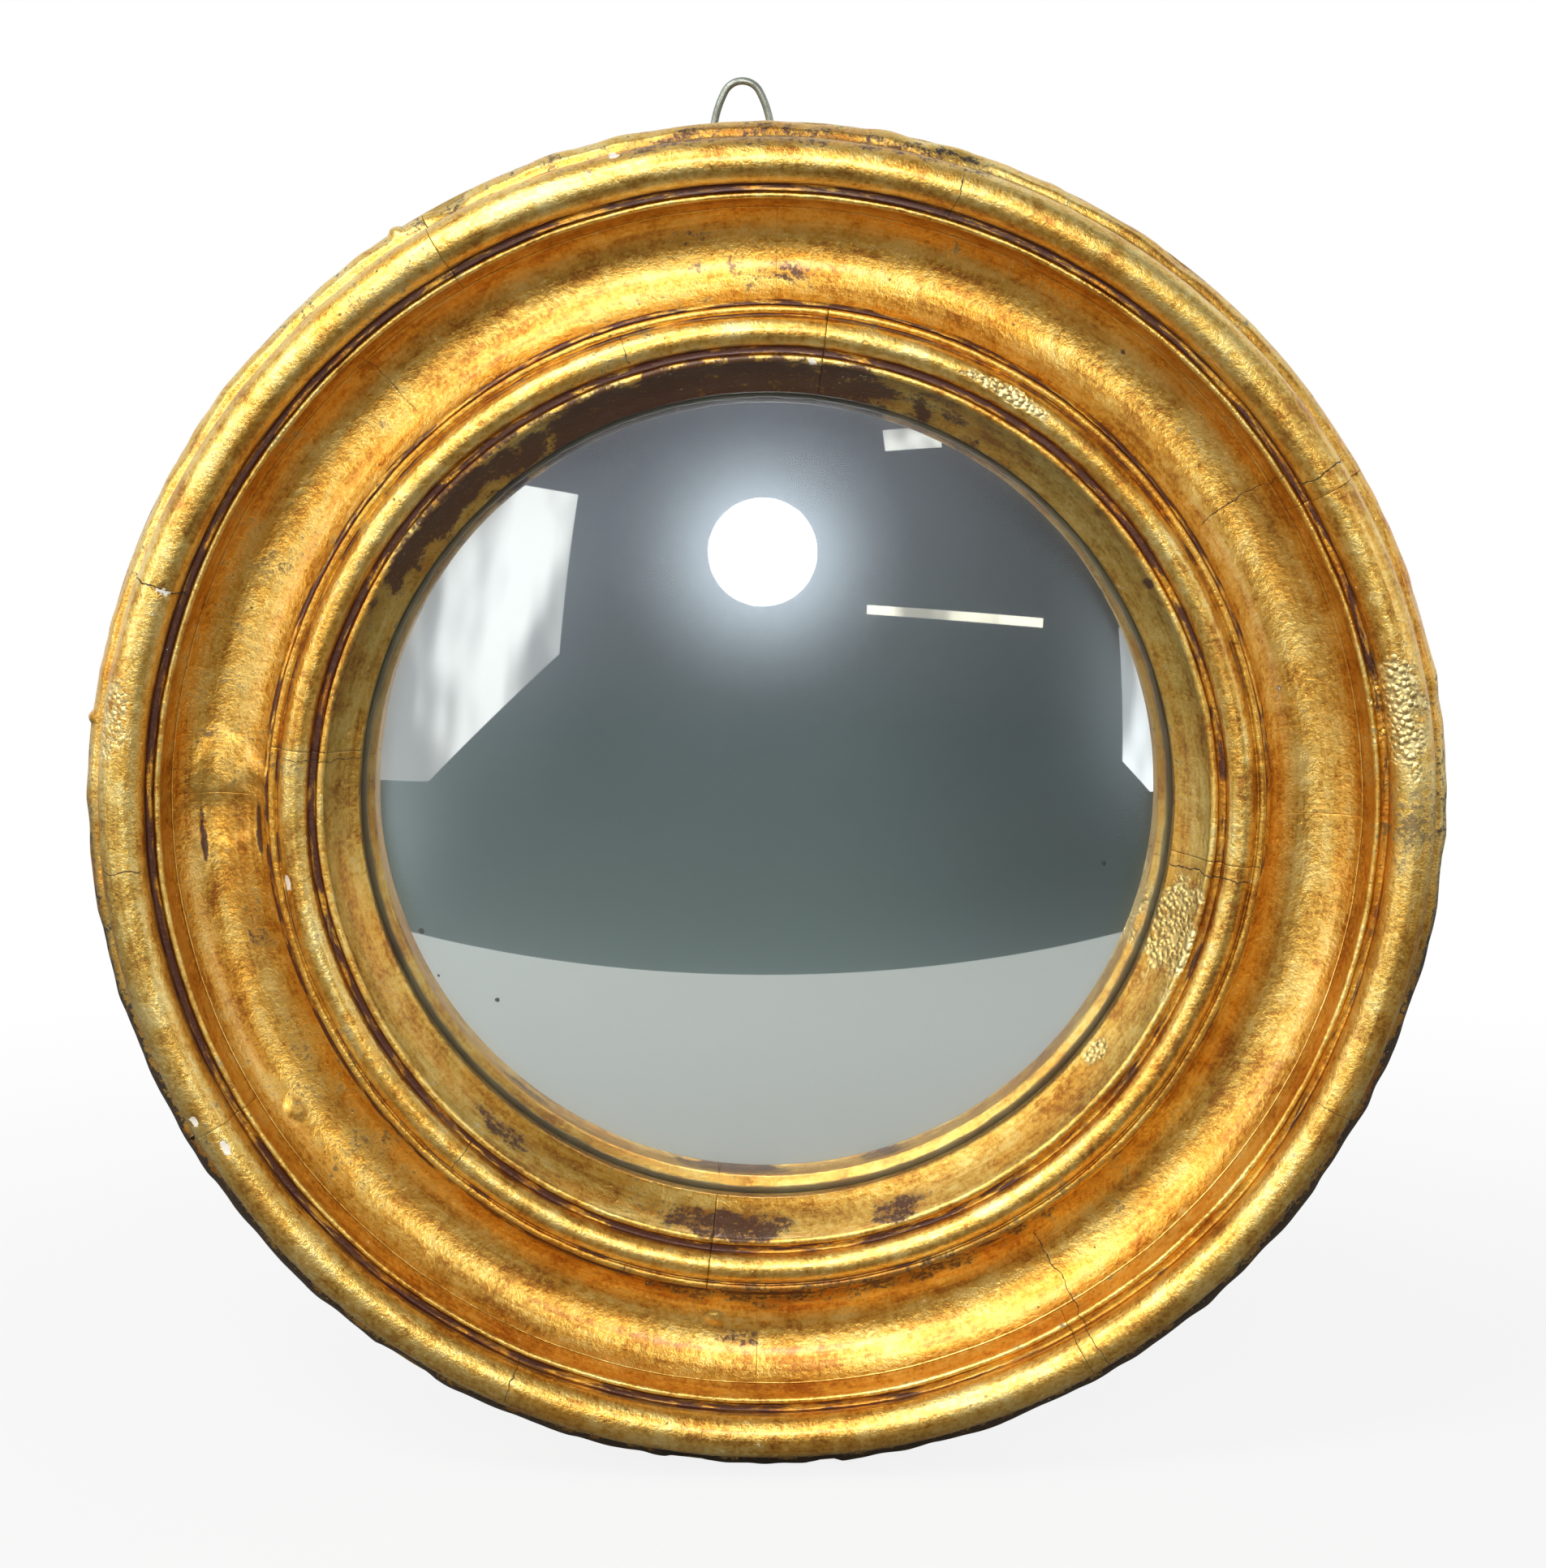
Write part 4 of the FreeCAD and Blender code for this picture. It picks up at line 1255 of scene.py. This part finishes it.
@dataclass
class Studio:
    """A pale floor, soft lamps, a dark screen that only gloss and glass see, and the camera."""

    eye: tuple[float, float, float] = (0.0, -1.1645, 0.175)
    aim: tuple[float, float, float] = (0.0, -0.028, 0.0)
    aim_pixel: tuple[float, float] = (945.0, 996.8)
    image: tuple[int, int] = (1905, 1932)
    focal_pixels: float = 5517.0
    sensor: float = 36.0
    floor_height: float = -0.1765
    floor_front: float = -0.29
    floor_back: float = 1.6
    floor_side: float = 1.5
    open_shade: Colour = (0.060, 0.052, 0.044)
    open_glow: Colour = (0.67, 0.655, 0.64)
    glow_way: tuple[float, float, float] = (-0.28, -0.86, 0.42)

    def camera(self) -> None:
        """Put the camera where the photograph was taken from."""
        data = bpy.data.cameras.new("camera")
        data.sensor_width = self.sensor
        data.lens = self.focal_pixels * self.sensor / max(self.image)
        made = bpy.data.objects.new("camera", data)
        bpy.context.scene.collection.objects.link(made)
        eye = Vector(self.eye)
        to_aim = (Vector(self.aim) - eye).normalized()
        turn = to_aim.to_track_quat("-Z", "Y").to_matrix()
        right, up = turn.col[0], turn.col[1]
        across = (self.aim_pixel[0] - self.image[0] / 2) / self.focal_pixels
        down = (self.aim_pixel[1] - self.image[1] / 2) / self.focal_pixels
        heading = to_aim - right * across + up * down
        made.location = eye
        made.rotation_euler = heading.to_track_quat("-Z", "Y").to_euler()
        data.clip_start, data.clip_end = 0.01, 50.0
        bpy.context.scene.camera = made

    def floor(self) -> None:
        """Lay the pale floor, which ends a little way in front of the mirror."""
        bm = bmesh.new()
        bmesh.ops.create_grid(bm, x_segments=1, y_segments=1, size=0.5)
        size = (2 * self.floor_side, self.floor_back - self.floor_front, 1.0)
        bmesh.ops.scale(bm, vec=size, verts=bm.verts[:])
        middle = (0.0, (self.floor_back + self.floor_front) / 2, self.floor_height)
        bmesh.ops.translate(bm, vec=middle, verts=bm.verts[:])
        material, g = new_material("pale_floor")
        path = g.node("LightPath").outputs
        direct = path["Is Camera Ray"]
        weave = g.noise(g.place(), 900.0, 2.0, 0.5)
        cloth = g.mix(weave, (0.45, 0.47, 0.455), (0.51, 0.53, 0.515))
        outside_glass = g.math("SUBTRACT", 1.0, path["Is Transmission Ray"])
        in_gloss = g.math("MULTIPLY", path["Is Glossy Ray"], outside_glass)
        cloth = g.mix(in_gloss, cloth, (0.20, 0.17, 0.14))
        lit = g.surface({"Base Color": cloth, "Roughness": 0.9})
        white = g.node("Emission", {"Color": (1.0, 1.0, 1.0), "Strength": 1.0}).outputs[0]
        away = g.node("VectorMath", {0: g.place()}, operation="LENGTH").outputs["Value"]
        share = g.math("MULTIPLY", direct, g.step(away, 0.22, 0.75, 0.86, 1.0))
        g.finish(g.node("MixShader", {0: share, 1: lit, 2: white}).outputs[0])
        made = to_object(bm, "floor", [material])

    def screen(self) -> None:
        """Hang the dark screen round the front, seen only in gloss and glass."""
        bm = bmesh.new()
        bmesh.ops.create_uvsphere(bm, u_segments=48, v_segments=24, radius=4.0)
        behind = [vertex for vertex in bm.verts if vertex.co.y > 0.35 * max(0.0, vertex.co.z) - 0.5]
        bmesh.ops.delete(bm, geom=behind, context="VERTS")
        material, g = new_material("dark_screen")
        place = g.place()
        axes = g.node("SeparateXYZ", {0: place}).outputs
        shade = g.ramp(g.step(axes[2], -2.2, 2.6), [(0.0, (0.12, 0.16, 0.145)), (0.42, (0.030, 0.053, 0.048)),
                                               (0.62, (0.020, 0.028, 0.028)), (1.0, (0.036, 0.032, 0.044))])
        shade = g.mix(g.step(axes[0], 0.2, 2.6, 0.0, 0.55), shade, (0.011, 0.010, 0.006))
        toward = g.node("VectorMath", {0: place}, operation="NORMALIZE").outputs[0]
        toward = g.node("VectorMath", {0: toward, 1: self.glow_way}, operation="DOT_PRODUCT").outputs["Value"]
        glow = g.ramp(g.step(toward, 0.30, 1.0), [(0.0, self.open_shade), (1.0, self.open_glow)])
        through = g.node("LightPath").outputs["Is Transmission Ray"]
        shade = g.mix(through, glow, shade)
        g.finish(g.node("Emission", {"Color": shade, "Strength": 1.0}).outputs[0])
        made = to_object(bm, "dark_screen", [material])
        made.visible_camera = False
        made.visible_diffuse = False
        made.visible_shadow = False
        made.visible_volume_scatter = False

    def panel(self, name: str, place: tuple, size: tuple, colour: Colour, strength: float, cut: float = 0.0,
              roll: float = 0.0) -> None:
        """Hang a shining panel that only the glass shows.

        Args:
            name: its name.
            place: its middle, in metres.
            size: its width and height.
            colour: its colour.
            strength: its brightness, where 1 is white.
            cut: how far its lower inner corner is cut off.
            roll: how far it is turned in its own plane, in degrees.
        """
        bm = bmesh.new()
        bmesh.ops.create_grid(bm, x_segments=1, y_segments=1, size=0.5)
        bmesh.ops.scale(bm, vec=(size[0], size[1], 1.0), verts=bm.verts[:])
        rolled = Matrix.Rotation(math.radians(roll), 3, "Z")
        facing = (-Vector(place)).to_track_quat("Z", "Y").to_matrix() @ rolled
        bmesh.ops.rotate(bm, verts=bm.verts[:], cent=(0, 0, 0), matrix=facing)
        bmesh.ops.translate(bm, verts=bm.verts[:], vec=place)
        if cut > 0.0:
            low_corner = min(bm.verts, key=lambda vertex: vertex.co.z + abs(vertex.co.x))
            bmesh.ops.bevel(bm, geom=[low_corner], offset=cut, segments=1, affect="VERTICES", profile=0.5,
                            material=-1)
        material, g = new_material(name)
        folds = g.noise(g.scaled(g.place(), (5.0, 5.0, 1.4)), 1.0, 2.0, 0.5)
        glow = g.step(folds, 0.38, 0.58, strength * 0.30, strength)
        g.finish(g.node("Emission", {"Color": colour, "Strength": glow}).outputs[0])
        made = to_object(bm, name, [material])
        made.visible_camera = False
        made.visible_diffuse = False
        made.visible_glossy = False
        made.visible_shadow = False

    def lamp(self, name: str, place: tuple, size: tuple, watts: float, in_glass: bool = False) -> None:
        """Add a soft lamp that points at the mirror.

        Args:
            name: its name.
            place: where it hangs.
            size: its width and height, in metres.
            watts: its power.
            in_glass: whether the silvered glass shows it.
        """
        data = bpy.data.lights.new(name, "AREA")
        data.shape = "DISK" if in_glass else "RECTANGLE"
        data.size, data.size_y = size
        data.energy = watts
        made = bpy.data.objects.new(name, data)
        bpy.context.scene.collection.objects.link(made)
        made.location = place
        made.rotation_euler = (-Vector(place)).to_track_quat("-Z", "Y").to_euler()
        made.visible_transmission = in_glass

    def world(self) -> None:
        """Light the scene with an even grey sky that the camera, gloss and glass see as white."""
        world = bpy.data.worlds.new("studio")
        world.use_nodes = True
        bpy.context.scene.world = world
        g = Graph(world.node_tree)
        path = g.node("LightPath")
        seen = g.math("MAXIMUM", path.outputs["Is Camera Ray"], path.outputs["Is Glossy Ray"])
        seen = g.math("MAXIMUM", seen, path.outputs["Is Transmission Ray"])
        white = g.node("Background", {"Color": (1.0, 1.0, 1.0), "Strength": 1.0}).outputs[0]
        soft = g.node("Background", {"Color": (1.0, 1.0, 1.0), "Strength": 0.45}).outputs[0]
        mixed = g.node("MixShader", {0: seen, 1: soft, 2: white}).outputs[0]
        g.node("OutputWorld", {"Surface": mixed})

    def build(self) -> None:
        """Set up the whole studio."""
        bpy.context.scene.view_settings.view_transform = "Standard"
        self.camera()
        self.floor()
        self.screen()
        self.world()
        self.lamp("lens_lamp", (-0.01, -1.2, 0.42), (0.26, 0.26), 5.2, in_glass=True)
        self.lamp("key_lamp", (-0.62, -0.92, 1.18), (0.9, 0.6), 13.0)
        self.lamp("left_lamp", (-1.35, -0.95, 0.40), (0.6, 0.6), 6.0)
        self.lamp("right_lamp", (1.35, -0.80, 0.30), (0.6, 0.6), 3.5)
        self.panel("left_panel", (-0.845, -1.12, 0.23), (0.72, 0.80), (1.0, 1.0, 0.99), 1.25, cut=0.36)
        self.panel("left_side_panel", (-1.17, -0.93, 0.26), (0.50, 1.40), (1.0, 0.98, 0.93), 4.5)
        self.panel("right_side_panel", (1.17, -0.93, 0.42), (0.50, 1.30), (1.0, 0.98, 0.93), 4.5)
        self.panel("tube_panel", (0.68, -1.83, 0.385), (0.66, 0.034), (1.0, 0.93, 0.76), 1.7, roll=7.0)
        self.panel("right_panel", (1.22, -1.30, 0.02), (0.30, 0.52), (0.93, 0.96, 1.0), 1.6, cut=0.10)
        self.panel("top_panel", (0.50, -1.60, 0.965), (0.20, 0.075), (1.0, 0.99, 0.94), 1.5)


# ------------------------------------------------------------------ the whole mirror


def dress_node(node: bpy.types.Object, material: bpy.types.Material) -> None:
    """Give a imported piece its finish."""
    node.data.materials.clear()
    node.data.materials.append(material)


def main() -> None:
    """Build the mirror and the studio round it."""
    logging.basicConfig(level=logging.INFO, format="%(message)s")
    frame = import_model()
    nodes = frame["nodes"]
    back_wood = OldWood("back_wood", (0.30, 0.17, 0.08), (0.12, 0.06, 0.03), "grain").material()
    board_wood = OldWood("board_wood", (0.26, 0.16, 0.09), (0.10, 0.055, 0.03), None, 180.0).material()
    iron = Metal("iron", (0.16, 0.14, 0.13), (0.10, 0.04, 0.02), 0.5).material()
    steel = Metal("strap_steel", (0.46, 0.46, 0.43), (0.22, 0.19, 0.15), 0.42).material()
    zinc = Metal("zinc_wire", (0.33, 0.36, 0.31), (0.20, 0.215, 0.18), 0.42, 420.0).material()
    quick = {}
    GiltFrame(Gilding(CRACKS).material(), back_wood, HandWork(MARKS), **quick).build()
    MirrorGlass(ClearGlass().material(), Silver(spots=LOST_SILVER).material()).build()
    for name, material in (("backboard", board_wood), ("board_brads", iron), ("slip_pins", iron),
                           ("hanger_strap", steel), ("hanger_screws", iron), ("hanging_ring", zinc)):
        dress_node(nodes[name], material)
        LOG.info("%s: dressed", name)
    Studio().build()


if __name__ == "__main__":
    main()
